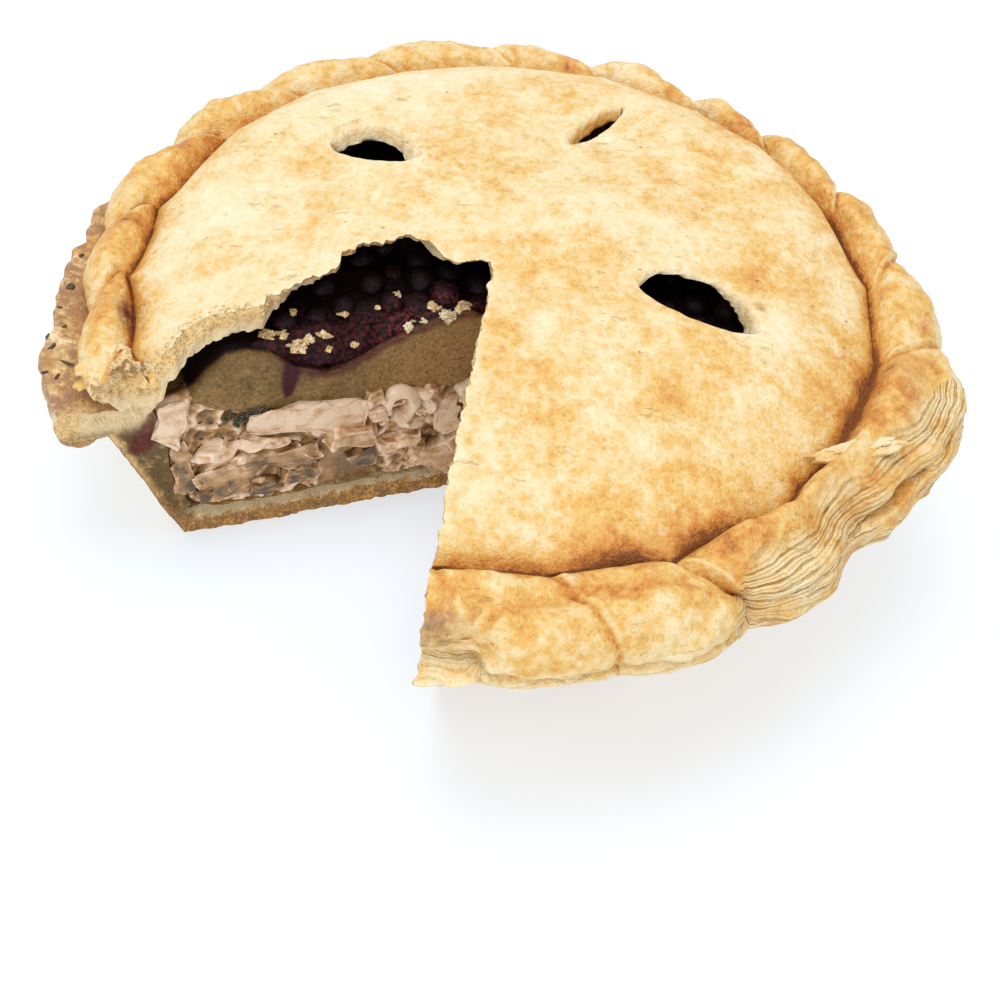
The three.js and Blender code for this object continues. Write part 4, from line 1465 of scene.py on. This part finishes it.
# Turkey at the left cut: run, height, width, tallness, out of the face, tilt, gravy coat, sliced, taper
LEFT_MEAT = (
    (90.2, 45.5, 9.0, 16.5, 0.9, -12.0, -0.05, 0.8, 0.2),
    (51.5, 38.0, 37.0, 10.5, 1.2, -8.0, -0.1, 1.0, 0.45),
    (40.5, 29.5, 15.0, 8.0, 1.6, -4.0, 0.1, 0.5, 0.0),
    (65.0, 32.0, 15.0, 4.0, 1.6, -8.0, -0.05, 0.3, 0.0),
    (79.0, 31.6, 12.0, 4.5, 1.4, 12.0, -0.05, 0.4, 0.3),
    (75.5, 19.0, 17.0, 16.0, 0.4, 24.0, 0.2, 0.8, 0.0),
    (60.0, 24.5, 22.0, 7.5, 0.2, -6.0, 0.3, 0.8, 0.0),
    (11.0, 29.0, 8.5, 12.0, 1.0, 6.0, -0.05, 0.8, 0.0), (25.0, 24.0, 14.0, 5.0, 1.2, 5.0, 0.1, 0.4, 0.0),
    (13.5, 14.0, 11.0, 12.0, 0.6, 10.0, 0.1, 0.6, 0.0),
    (54.0, 16.5, 11.0, 6.5, -0.6, -16.0, 0.45, 0.6, 0.0),
    (35.5, 19.0, 8.0, 7.0, -0.9, 18.0, 0.6, 0.6, 0.0),
    (87.0, 25.5, 6.5, 22.0, -0.4, 5.0, 0.45, 0.9, 0.0), (65.0, 13.5, 9.0, 5.5, -0.3, 4.0, 0.4, 0.6, 0.0),
    (20.5, 16.0, 4.5, 10.0, 0.6, -16.0, 0.2, 0.3, 0.0), (4.5, 38.5, 8.0, 7.5, 0.6, 8.0, -0.05, 0.5, 0.0),
    (33.0, 41.5, 6.0, 5.0, 0.6, 20.0, 0.2, 0.3, 0.0), (16.5, 34.0, 4.0, 8.0, 0.9, -25.0, 0.0, 0.2, 0.0),
    (31.5, 35.0, 4.5, 8.0, 0.6, 12.0, 0.25, 0.3, 0.0), (17.0, 40.0, 6.0, 4.0, 0.4, -10.0, 0.2, 0.2, 0.0),
    (22.0, 29.5, 9.0, 3.0, 1.2, -14.0, -0.05, 0.2, 0.0), (8.0, 21.0, 8.0, 6.0, 1.0, 30.0, 0.0, 0.5, 0.0),
    (81.5, 15.0, 6.0, 5.0, -0.2, 0.0, 0.45, 0.5, 0.0), (71.0, 27.5, 6.0, 5.0, 0.8, 40.0, 0.1, 0.4, 0.0),
)


def face_matrix(side, run, height, out, tilt):
    """The frame of one place on a knife face: along it, out of it, up."""
    along = heading(CUT_LEFT if side == "left" else CUT_RIGHT)
    away = heading(CUT_LEFT + 90.0 if side == "left" else CUT_RIGHT - 90.0)
    turn = Matrix((
        (along.x, away.x, 0.0, 0.0), (along.y, away.y, 0.0, 0.0), (0.0, 0.0, 1.0, 0.0), (0.0, 0.0, 0.0, 1.0),
    ))
    spot = CUT_POINT + along * run + away * out + Vector((0, 0, height))
    return Matrix.Translation(spot) @ turn @ Matrix.Rotation(math.radians(tilt), 4, "Y")


def split_cube(bm, size, cuts):
    """The points of a new cube that is divided into a grid."""
    made = bmesh.ops.create_cube(bm, size=size)["verts"]
    edges = list({edge for vert in made for edge in vert.link_edges})
    bmesh.ops.subdivide_edges(bm, edges=edges, cuts=cuts, use_grid_fill=True)
    fresh = [vert for vert in bm.verts if not vert.tag]
    for vert in fresh:
        vert.tag = True
    return fresh


def meat_piece(bm, layers, side, piece, seed, cuts):
    """One piece of turkey: a torn lump, flat where the knife sliced it, browner the further it lies behind
    the knife face, partly gravy and partly painted shade.
    """
    run, height, width, tall, out, tilt, coat, sliced, taper = piece
    tone, shredded = layers
    matrix = face_matrix(side, run, height, out, tilt)
    small = min(width, tall)
    deep = 0.45 * small + 1.5
    torn = 0.6 - 0.4 * sliced
    loose = 1.0 - sliced
    warp = 0.5 * small + 1.5
    for vert in split_cube(bm, 2.0, cuts):
        outward = vert.co.normalized()
        form = vert.co.lerp(outward * 1.2, 0.75 - 0.5 * sliced)
        local = Vector((form.x * width * 0.46, form.y * deep, form.z * tall * 0.44 * (1.0 - taper * form.x)))
        bend = drift(local, warp, seed + 11.0, seed + 17.0, seed + 23.0)
        bend.y *= 1.0 - 0.9 * sliced
        local += bend * (0.36 - 0.1 * sliced) * (small + 1.5)
        strand = Vector((local.x * 0.35, local.y, local.z))
        ragged = grain(strand, 3.0, seed + 3.0) + 0.7 * grain(strand, 1.3, seed + 5.0)
        local += outward * torn * ragged
        fibre = grain(Vector((local.x * 0.22, local.y, local.z)), 1.2, seed + 6.0)
        face = 0.3 * grain(local, 3.0, seed + 8.0)
        local.y = min(local.y, face + 9.0 * loose) - loose * (deep - 1.0) + 0.2 * fibre
        sunk = max(-out - local.y, 0.0)
        vert.co = matrix @ local
        low = 0.29 * (1.0 - smooth(vert.co.z, 12.0, 32.0)) - 0.15 * (1.0 - smooth(run, 20.0, 36.0))
        # The tone is darker towards the bottom and paler near the point of the cut; sunk adds painted shade
        # behind the face, and ragged adds a painted highlight where the torn surface bulges out.
        vert[tone] = 0.12 + coat + 0.35 * grain(local, 3.5, seed) - 0.25 * ragged * loose + 0.26 * sunk + low
        vert[shredded] = min(1.0, 1.6 * loose + 0.25)


def curl(bm, layers, side, run, height, out, seed):
    """A curled shred of turkey with a hole in its middle."""
    tone, shredded = layers
    middle = Matrix.Translation((4.3, 0, 0))
    ring = bmesh.ops.create_circle(bm, segments=12, radius=2.4, matrix=middle)["verts"]
    edges = list({edge for vert in ring for edge in vert.link_edges})
    bmesh.ops.spin(bm, geom=ring + edges, axis=(0, 1, 0), cent=(0, 0, 0), angle=math.radians(330), steps=30)
    made = [vert for vert in bm.verts if not vert.tag]
    bmesh.ops.holes_fill(bm, edges=[edge for edge in bm.edges if edge.is_boundary])
    matrix = face_matrix(side, run, height, out, 40.0)
    for vert in made:
        vert.tag = True
        vert[tone] = 0.1 + 0.4 * grain(vert.co, 4.0, seed)
        vert[shredded] = 1.0
        bend = drift(vert.co, 5.0, seed, seed + 4.0, seed + 8.0)
        vert.co = matrix @ (vert.co + bend * 1.5 + bend.yzx * 0.3)


class PIE_OT_turkey_pieces(bpy.types.Operator):
    """Adds the pieces of turkey that the two cuts show"""

    bl_idname = "pie.turkey_pieces"
    bl_label = "Turkey pieces"

    def execute(self, context):
        finish = meat_finish(context.scene.pie_colours)
        bm = bmesh.new()
        names = ("tint", "loose")
        for name in names:
            bm.verts.layers.float.new(name)
        layers = [bm.verts.layers.float[name] for name in names]
        for count, piece in enumerate(LEFT_MEAT):
            meat_piece(bm, layers, "left", piece, 3.1 * count + 1.0, 18 if piece[2] > 12 else 12)
        curl(bm, layers, "left", 25.0, 37.0, 0.2, 41.0)
        dice = random.Random(5)
        spots = [(run, height) for height in (15.0, 24.0, 35.0) for run in (0.16, 0.36, 0.56, 0.76, 0.92)]
        for count, (part, height) in enumerate(spots):
            run = part * (66.0 + 0.35 * (height - 15.0))
            piece = (
                run + dice.uniform(-3, 3), height + dice.uniform(-2, 2),
                dice.uniform(9, 18), dice.uniform(7, 12), dice.uniform(-0.2, 0.9), dice.uniform(-25, 25),
                dice.uniform(0.0, 0.3), dice.choice((0.0, 0.0, 0.8)), 0.0,
            )
            meat_piece(bm, layers, "right", piece, 2.3 * count + 70.0, 10)
        curl(bm, layers, "right", 58.0, 33.0, 0.2, 47.0)
        for side in ("left", "right"):
            for count in range(SHREDS):
                height = dice.uniform(11, 41)
                run = dice.uniform(6, 74 + 0.2 * height)
                pool = 31.0 < run < 49.0 and height < 27.0
                slab = 34.0 < run < 68.0 and 33.0 < height
                if pool or slab:
                    continue
                piece = (
                    run, height, dice.uniform(3, 8), dice.uniform(1.2, 2.6),
                    dice.uniform(-0.8, 0.5), dice.uniform(-50, 50), dice.uniform(-0.1, 0.5), 0.0, 0.0,
                )
                meat_piece(bm, layers, side, piece, 1.7 * count + 130.0, 6)
        bmesh.ops.recalc_face_normals(bm, faces=bm.faces)
        paint_crease_shade(bm, 2)
        serve(bm, "turkey_pieces", [finish], (), 70.0)
        return {"FINISHED"}


class PIE_OT_stuffing(bpy.types.Operator):
    """Adds the layer of stuffing"""

    bl_idname = "pie.stuffing"
    bl_label = "Stuffing"

    def execute(self, context):
        shape = PieShape(context.scene.pie_sizes)
        finish = stuffing_finish(context.scene.pie_colours)
        low = [(0, 40.5), (45, 41.0), (70, 42.5), (82, 46.5), (88.5, 51.0)]
        high = [
            (89, 56), (87, 60), (84, 62.5), (78, 62.4), (72, 61.8), (66, 60.4), (60, 58.5), (50, 57.4),
            (40, 56.5), (30, 56.6), (20, 56.8), (10, 57.0), (0, 57),
        ]
        bm = spun(low + high, 60, [2] * len(low + high))
        for vert in bm.verts:
            top = smooth(vert.co.z, 50.0, 55.0)
            run, behind = shape.off_left_cut(vert.co)
            if run > -6.0:
                lift = between(STUFFING_EDGE, run) - vert.co.z
                close = 1.0 - smooth(abs(behind), 8.0, 26.0)
                vert.co.z += lift * top * close * smooth(run, -6.0, 2.0)
            vert.co.z += top * (0.9 * grain(vert.co, 9.0, 91.0) + 0.3 * grain(vert.co, 3.0, 93.0))

        def drag(seed):
            """A rule that makes a cut face gently uneven."""
            def push(run, place):
                return 0.3 + 0.5 * grain(place, 11.0, seed) + 0.16 * grain(place, 2.2, seed + 2.0)
            return push

        levels = [20.0] + ramp_list(36.0, 72.0, 1.0) + [80.0]
        bm = carve(bm, [wedge(levels, 1.0, drag(111.0), drag(113.0))], [finish, finish])

        def drip(spot, normal):
            """Juice under the fruit, and one trail of it down the left cut."""
            run, behind = shape.off_left_cut(spot)
            wide = 1.4 + 2.4 * smooth(spot.z, 45.0, 54.0)
            on_face = 1.0 - smooth(behind, 1.5, 4.0)
            aside = run - 57.0 + 0.15 * (spot.z - 50.0)
            trail = 1.2 * hump(aside, 0.0, wide) * smooth(spot.z, 44.0, 48.0)
            edge = between(STUFFING_EDGE, run) + 1.5 * grain(spot, 6.0, 95.0)
            under = smooth(spot.z, edge - 5.5, edge - 0.2) * 0.8 * (1.0 - smooth(run, 58.0, 66.0))
            return min(max(trail, under) * on_face + (1.0 - on_face), 1.0)

        def pale(spot, normal):
            """Painted light: lighter stuffing near the point of the cut, where light falls on the face."""
            return 1.0 - smooth(shape.off_left_cut(spot)[0], 18.0, 46.0)

        def jam(spot, normal):
            """Dark juice and painted shade all over the top behind the cut, nearly black under the lid."""
            return smooth(spot.z, 50.0, 54.0) * smooth(shape.off_left_cut(spot)[1], 1.0, 3.0)

        painted(bm, stain=drip, pale=pale, jam=jam)
        serve(bm, "stuffing", [finish], ["stuffing_layer"], 60.0)
        return {"FINISHED"}


class PIE_OT_cranberry(bpy.types.Operator):
    """Adds the cooked cranberries with whole berries on top"""

    bl_idname = "pie.cranberry"
    bl_label = "Cranberries"

    def execute(self, context):
        shape = PieShape(context.scene.pie_sizes)
        finish = fruit_finish(context.scene.pie_colours)
        low = [(0, 54.0), (40, 54.0), (60, 56.0), (70, 59.0)]
        high = [(73, 61.5), (70, 64.4)] + [(radius, 65.4) for radius in range(66, 0, -3)] + [(0, 65.5)]
        bm = spun(low + high, 50, [3] * len(low + high))
        for vert in bm.verts:
            top = smooth(vert.co.z, 60.0, 63.0)
            vert.co.z += top * (1.6 * grain(vert.co, 9.0, 121.0) + 0.9 * grain(vert.co, 4.0, 123.0))

        def slump(seed):
            """A rule that lets the fruit lean back from a cut face."""
            def push(run, place):
                lean = 3.5 * smooth(place.z, 58.0, 69.0)
                return 1.6 + lean + 1.2 * grain(place, 7.0, seed) + 0.6 * grain(place, 3.0, seed + 2.0)
            return push

        levels = [40.0] + ramp_list(52.0, 72.0, 1.0) + [80.0]
        bm = carve(bm, [wedge(levels, 1.0, slump(125.0), slump(127.0))], [finish, finish])

        def pulp(spot, normal):
            """Wet pulp at the left cut, most of it near the point."""
            run, behind = shape.off_left_cut(spot)
            face = (1.0 - smooth(behind, 2.0, 12.0)) * smooth(run, -2.0, 4.0)
            return face * (0.35 + 0.6 * smooth(run, 38.0, 18.0))

        dice = random.Random(11)
        berries = []
        for _ in range(BERRY_TRIES):
            spot = Vector((dice.uniform(-66, 66), dice.uniform(-66, 66), 0.0))
            behind = shape.off_left_cut(spot)[1]
            if spot.length > 66.0 or max(behind, shape.behind_right_cut(spot)) <= 7.0:
                continue
            size = dice.uniform(3.6, 5.0)
            if all((spot - other).length > 0.85 * (size + reach) for other, reach in berries):
                berries.append((spot, size))
            if len(berries) == BERRIES:
                break
        for spot, size in berries:
            made = bmesh.ops.create_icosphere(bm, subdivisions=3, radius=size)["verts"]
            seed = dice.uniform(0, 90)
            turn = Matrix.Rotation(dice.uniform(0, math.tau), 3, "X")
            turn = turn @ Matrix.Rotation(dice.uniform(0, math.tau), 3, "Y")
            flat = dice.uniform(0.75, 0.95)
            rise = 64.9 + dice.uniform(-1.2, 1.0) + 1.2 * grain(spot, 9.0, 121.0)
            for vert in made:
                way = vert.co.normalized()
                wrinkle = grains(vert.co, (0.35, 2.2, seed), (0.14, 0.9, seed))
                skin = turn @ (way * (size + wrinkle))
                vert.co = Vector((spot.x + skin.x, spot.y + skin.y, rise + skin.z * flat))
        bmesh.ops.recalc_face_normals(bm, faces=bm.faces)
        painted(bm, pulp=pulp)
        serve(bm, "cranberries", [finish], ["cranberry_layer"], 80.0)
        return {"FINISHED"}


# Clusters of crumbs that fell into the gap: x, y, size, thickness and how pale
CRUMBS = (
    (-63.0, -19.5, 3.2, 0.5, 0.1), (-58.8, -19.0, 2.6, 0.8, 0.3), (-54.5, -20.8, 4.2, 0.8, 0.6),
    (-51.5, -18.8, 2.4, 0.6, 0.7), (-47.5, -17.2, 2.6, 0.5, 0.6), (-45.8, -18.6, 2.0, 0.7, 0.4),
    (-42.5, -10.0, 2.4, 0.5, 0.2), (-25.3, -9.3, 3.2, 0.35, 0.9), (-18.8, -4.5, 2.6, 0.6, 0.5),
    (-14.6, -7.2, 3.8, 0.45, 1.0), (-10.3, -3.6, 3.4, 0.5, 0.3), (-39.5, -15.6, 1.8, 0.7, 0.5),
    (-34.0, -6.0, 1.5, 0.8, 0.3), (-29.0, -3.0, 1.7, 0.7, 0.4), (-56.5, -13.0, 1.8, 0.7, 0.3),
    (-21.0, -8.2, 1.6, 0.6, 0.7),
)


def tumbled(dice, tip):
    """A turn drawn at random, tipped by up to so many radians."""
    turn = Matrix.Rotation(dice.uniform(-tip, tip), 3, "X")
    return turn @ Matrix.Rotation(dice.uniform(0, 6), 3, "Z")


def crumb_bit(bm, cuts, place, turn, sizes, rounding, jag, seed, values):
    """One torn bit of pastry, with the values that its points carry."""
    for vert in split_cube(bm, 1.6, cuts):
        torn = jag * drift(vert.co, 0.7, seed, seed + 2.0, seed + 4.0)
        form = vert.co.lerp(vert.co.normalized(), rounding) + torn
        vert.co = place + turn @ (form * Vector(sizes))
        for layer, value in values:
            vert[layer] = value


class PIE_OT_crumbs(bpy.types.Operator):
    """Adds the pastry crumbs on the filling and along the broken edge of the lid"""

    bl_idname = "pie.crumbs"
    bl_label = "Crumbs"

    def execute(self, context):
        context.view_layer.update()
        carriers = [bpy.data.objects["cranberries"], bpy.data.objects["stuffing"]]
        lid = bpy.data.objects["lid"]
        bm = bmesh.new()
        depth = bm.verts.layers.float.new("depth")
        pallor = bm.verts.layers.float.new("pale")
        dice = random.Random(17)
        for x, y, size, flat, pale in CRUMBS:
            heights = [height_under(carrier, x, y, 74.0) for carrier in carriers]
            heights = [height for height in heights if height is not None]
            if not heights:
                raise RuntimeError(f"nothing under the crumb at {x}, {y}")
            base = Vector((x, y, max(heights)))
            for bit in range(3 + round(2.6 * size)):
                reach = size * dice.uniform(0.18, 0.45) * (1.3 if bit == 0 else 1.0)
                slide = heading(dice.uniform(0, 360)) * size * dice.uniform(0.1, 0.7) * (bit > 0)
                thick = reach * (0.16 + 0.4 * flat)
                turn = tumbled(dice, 0.8)
                seed = dice.uniform(0, 90)
                white = clamp(1.1 * pale - 0.2 + dice.uniform(-0.3, 0.5))
                values = ((depth, 0.3 + 0.4 * pale), (pallor, white))
                place = base + slide + Vector((0, 0, 0.6 * thick))
                crumb_bit(bm, 3, place, turn, (reach, 0.7 * reach, thick), 0.6, 0.9, seed, values)
        for _ in range(EDGE_CRUMBS):
            run = dice.uniform(60.0, 111.0)
            behind = between(BROKEN, run) + abs(dice.gauss(0.0, 1.6)) - 0.3
            spot = CUT_POINT + heading(CUT_LEFT) * run + PieShape.BACK * behind
            height = height_under(lid, spot.x, spot.y, 90.0)
            if height is None:
                continue
            spot.z = height
            size = dice.uniform(0.3, 0.7) * (1.0 + 0.9 * smooth(run, 90.0, 98.0))
            values = ((depth, 0.3), (pallor, dice.uniform(0.2, 1.0)))
            turn = tumbled(dice, 1.2)
            seed = dice.uniform(0, 90)
            crumb_bit(bm, 1, spot, turn, (size, 0.7 * size, 0.45 * size), 0.4, 0.8, seed, values)
        bmesh.ops.recalc_face_normals(bm, faces=bm.faces)
        finish = bpy.data.materials["pastry_crumb"]
        serve(bm, "crumbs", [finish], (), 22.0)
        return {"FINISHED"}


# Thin flakes of pastry: where each starts and ends, its width, thickness and how brown it is
FLAKES = (
    ((84.0, -52.8, 68.2), (106.0, -46.5, 69.4), 5.0, 0.8, 0.42),
    ((89.0, -50.5, 69.4), (103.0, -46.0, 70.2), 3.6, 0.7, 0.36),
    ((-97.5, -32.0, 65.5), (-102.5, -35.0, 66.0), 4.5, 0.7, 0.3),
    ((-99.5, -30.0, 66.0), (-103.0, -33.0, 67.5), 3.5, 0.6, 0.24),
    ((-103.0, -36.5, 64.0), (-109.0, -38.5, 63.0), 5.0, 0.7, 0.42),
    ((-106.0, -38.0, 60.5), (-111.0, -40.5, 59.5), 4.5, 0.7, 0.5),
    ((-95.0, -34.5, 63.0), (-100.5, -37.0, 61.5), 4.0, 0.7, 0.3),
    ((-107.5, -36.0, 64.0), (-111.0, -38.5, 62.5), 4.0, 0.6, 0.45),
)


def flake(bm, layer, start, end, width, thick, seed, bake):
    """A thin torn sheet of pastry that bows along its length."""
    made = bmesh.ops.create_grid(bm, x_segments=12, y_segments=6, size=0.5)["verts"]
    faces = list({face for vert in made for face in vert.link_faces})
    along = Vector(end) - Vector(start)
    side = Vector((0, 0, 1)).cross(along).normalized()
    up = along.cross(side).normalized()
    middle = (Vector(start) + Vector(end)) / 2
    for vert in made:
        x, y = vert.co.x, vert.co.y
        across = Vector((0.0, y * 5.0, 0.0))
        ragged = 1.0 + 0.5 * grain(across, 1.0, seed)
        taper = 1.0 - 0.5 * abs(2.0 * x) ** 3 + 0.5 * grain(Vector((x * 7.0, 0.0, 0.0)), 1.0, seed + 2.0)
        bow = width * (0.1 * grain(vert.co, 0.4, seed + 4.0) + 0.25 * (0.25 - x * x))
        vert.co = middle + along * x * ragged + side * y * width * taper + up * bow
        vert[layer] = bake
    bmesh.ops.solidify(bm, geom=faces, thickness=thick)
    for vert in bm.verts:
        vert[layer] = vert[layer] or bake


class PIE_OT_flakes(bpy.types.Operator):
    """Adds the thin flakes of pastry on the rim"""

    bl_idname = "pie.flakes"
    bl_label = "Flakes"

    def execute(self, context):
        bm = bmesh.new()
        layer = bm.verts.layers.float.new("bake")
        for count, (start, end, width, thick, bake) in enumerate(FLAKES):
            flake(bm, layer, start, end, width, thick, 3.7 * count, bake)
        bmesh.ops.recalc_face_normals(bm, faces=bm.faces)
        serve(bm, "flakes", [bpy.data.materials["pastry_crust"]], (), 40.0)
        return {"FINISHED"}


# Herbs on the left flange: x, y, length, width and turn in degrees
LEFT_HERBS = (
    (-120.5, 0.5, 3.4, 2.4, 70.0), (-122.5, -21.0, 3.0, 1.0, 80.0), (-120.5, -24.5, 3.4, 1.1, 60.0),
    (-116.5, -28.6, 6.0, 0.7, -20.0), (-119.0, -16.0, 1.6, 0.8, 30.0), (-117.5, -34.0, 2.4, 1.0, 75.0),
    (-120.0, 14.0, 1.8, 0.9, 60.0), (-116.0, 24.0, 1.6, 0.9, 50.0), (-121.0, -33.5, 2.2, 0.9, 20.0),
    (-121.5, -9.0, 1.5, 0.8, 0.0),
)


class PIE_OT_herbs(bpy.types.Operator):
    """Adds the flecks of herb in the filling and on the left flange"""

    bl_idname = "pie.herbs"
    bl_label = "Herbs"

    def execute(self, context):
        finish = herb_finish(context.scene.pie_colours)
        dice = random.Random(23)
        spots = []
        for _ in range(CLUSTER_HERBS):
            run, height = dice.gauss(69.0, 3.6), dice.gauss(42.2, 1.2)
            spots.append((run, height, dice.uniform(-0.4, 0.5), dice.uniform(0.5, 1.3)))
        for _ in range(MEAT_HERBS):
            run, height = dice.uniform(8, 88), dice.uniform(11, 44)
            spots.append((run, height, dice.uniform(-0.8, 0.8), dice.uniform(0.3, 0.8)))
        for _ in range(STUFFING_HERBS):
            run, height = dice.uniform(8, 76), dice.uniform(46, 56)
            spots.append((run, height, dice.uniform(-0.5, -0.2), dice.uniform(0.3, 0.6)))
        bm = bmesh.new()
        for side in ("left", "right"):
            for run, height, out, size in spots:
                matrix = face_matrix(side, run, height, out, dice.uniform(-60, 60))
                made = bmesh.ops.create_icosphere(bm, subdivisions=2, radius=1.0)["verts"]
                seed = dice.uniform(0, 90)
                for vert in made:
                    lump = 1.0 + 0.5 * grain(vert.co, 0.8, seed)
                    vert.co = matrix @ Vector((
                        vert.co.x * size * lump, vert.co.y * 0.35 * size, vert.co.z * 0.5 * size * lump,
                    ))
        context.view_layer.update()
        case = bpy.data.objects["case"]
        for x, y, long, wide, turn in LEFT_HERBS:
            height = height_under(case, x, y, 62.0)
            if height is None:
                raise RuntimeError(f"no flange under the herb at {x}, {y}")
            matrix = Matrix.Translation((x, y, height)) @ Matrix.Rotation(math.radians(turn), 4, "Z")
            made = bmesh.ops.create_icosphere(bm, subdivisions=3, radius=1.0)["verts"]
            for vert in made:
                lump = 1.0 + 0.5 * grain(vert.co, 0.8, x)
                vert.co = matrix @ Vector((
                    vert.co.x * 0.5 * long * lump, vert.co.y * 0.5 * wide * lump, vert.co.z * 0.5,
                ))
        bmesh.ops.recalc_face_normals(bm, faces=bm.faces)
        serve(bm, "herbs", [finish], (), 60.0)
        return {"FINISHED"}


class PIE_PT_panel(bpy.types.Panel):
    """Lists the pie's pieces in the sidebar"""

    bl_idname = "PIE_PT_panel"
    bl_label = "Turkey Pie"
    bl_space_type = "VIEW_3D"
    bl_region_type = "UI"
    bl_category = "Pie"

    def draw(self, context):
        for operator in OPERATORS:
            self.layout.operator(operator.bl_idname)
        for group in (context.scene.pie_sizes, context.scene.pie_colours, context.scene.pie_studio):
            box = self.layout.box()
            for name in group.__annotations__:
                box.prop(group, name)


OPERATORS = (
    PIE_OT_stage, PIE_OT_case, PIE_OT_lid, PIE_OT_turkey, PIE_OT_turkey_pieces, PIE_OT_stuffing,
    PIE_OT_cranberry, PIE_OT_crumbs, PIE_OT_flakes, PIE_OT_herbs,
)
CLASSES = (PieSizes, PieColours, StudioSettings, *OPERATORS, PIE_PT_panel)


def register():
    for part in CLASSES:
        bpy.utils.register_class(part)
    bpy.types.Scene.pie_sizes = PointerProperty(type=PieSizes)
    bpy.types.Scene.pie_colours = PointerProperty(type=PieColours)
    bpy.types.Scene.pie_studio = PointerProperty(type=StudioSettings)


def unregister():
    del bpy.types.Scene.pie_studio
    del bpy.types.Scene.pie_colours
    del bpy.types.Scene.pie_sizes
    for part in reversed(CLASSES):
        bpy.utils.unregister_class(part)


def main():
    """Adds every piece in order."""
    register()
    bpy.ops.pie.stage()
    bpy.ops.pie.case()
    bpy.ops.pie.lid()
    bpy.ops.pie.turkey()
    bpy.ops.pie.turkey_pieces()
    bpy.ops.pie.stuffing()
    bpy.ops.pie.cranberry()
    bpy.ops.pie.crumbs()
    bpy.ops.pie.flakes()
    bpy.ops.pie.herbs()


if __name__ == "__main__":
    main()
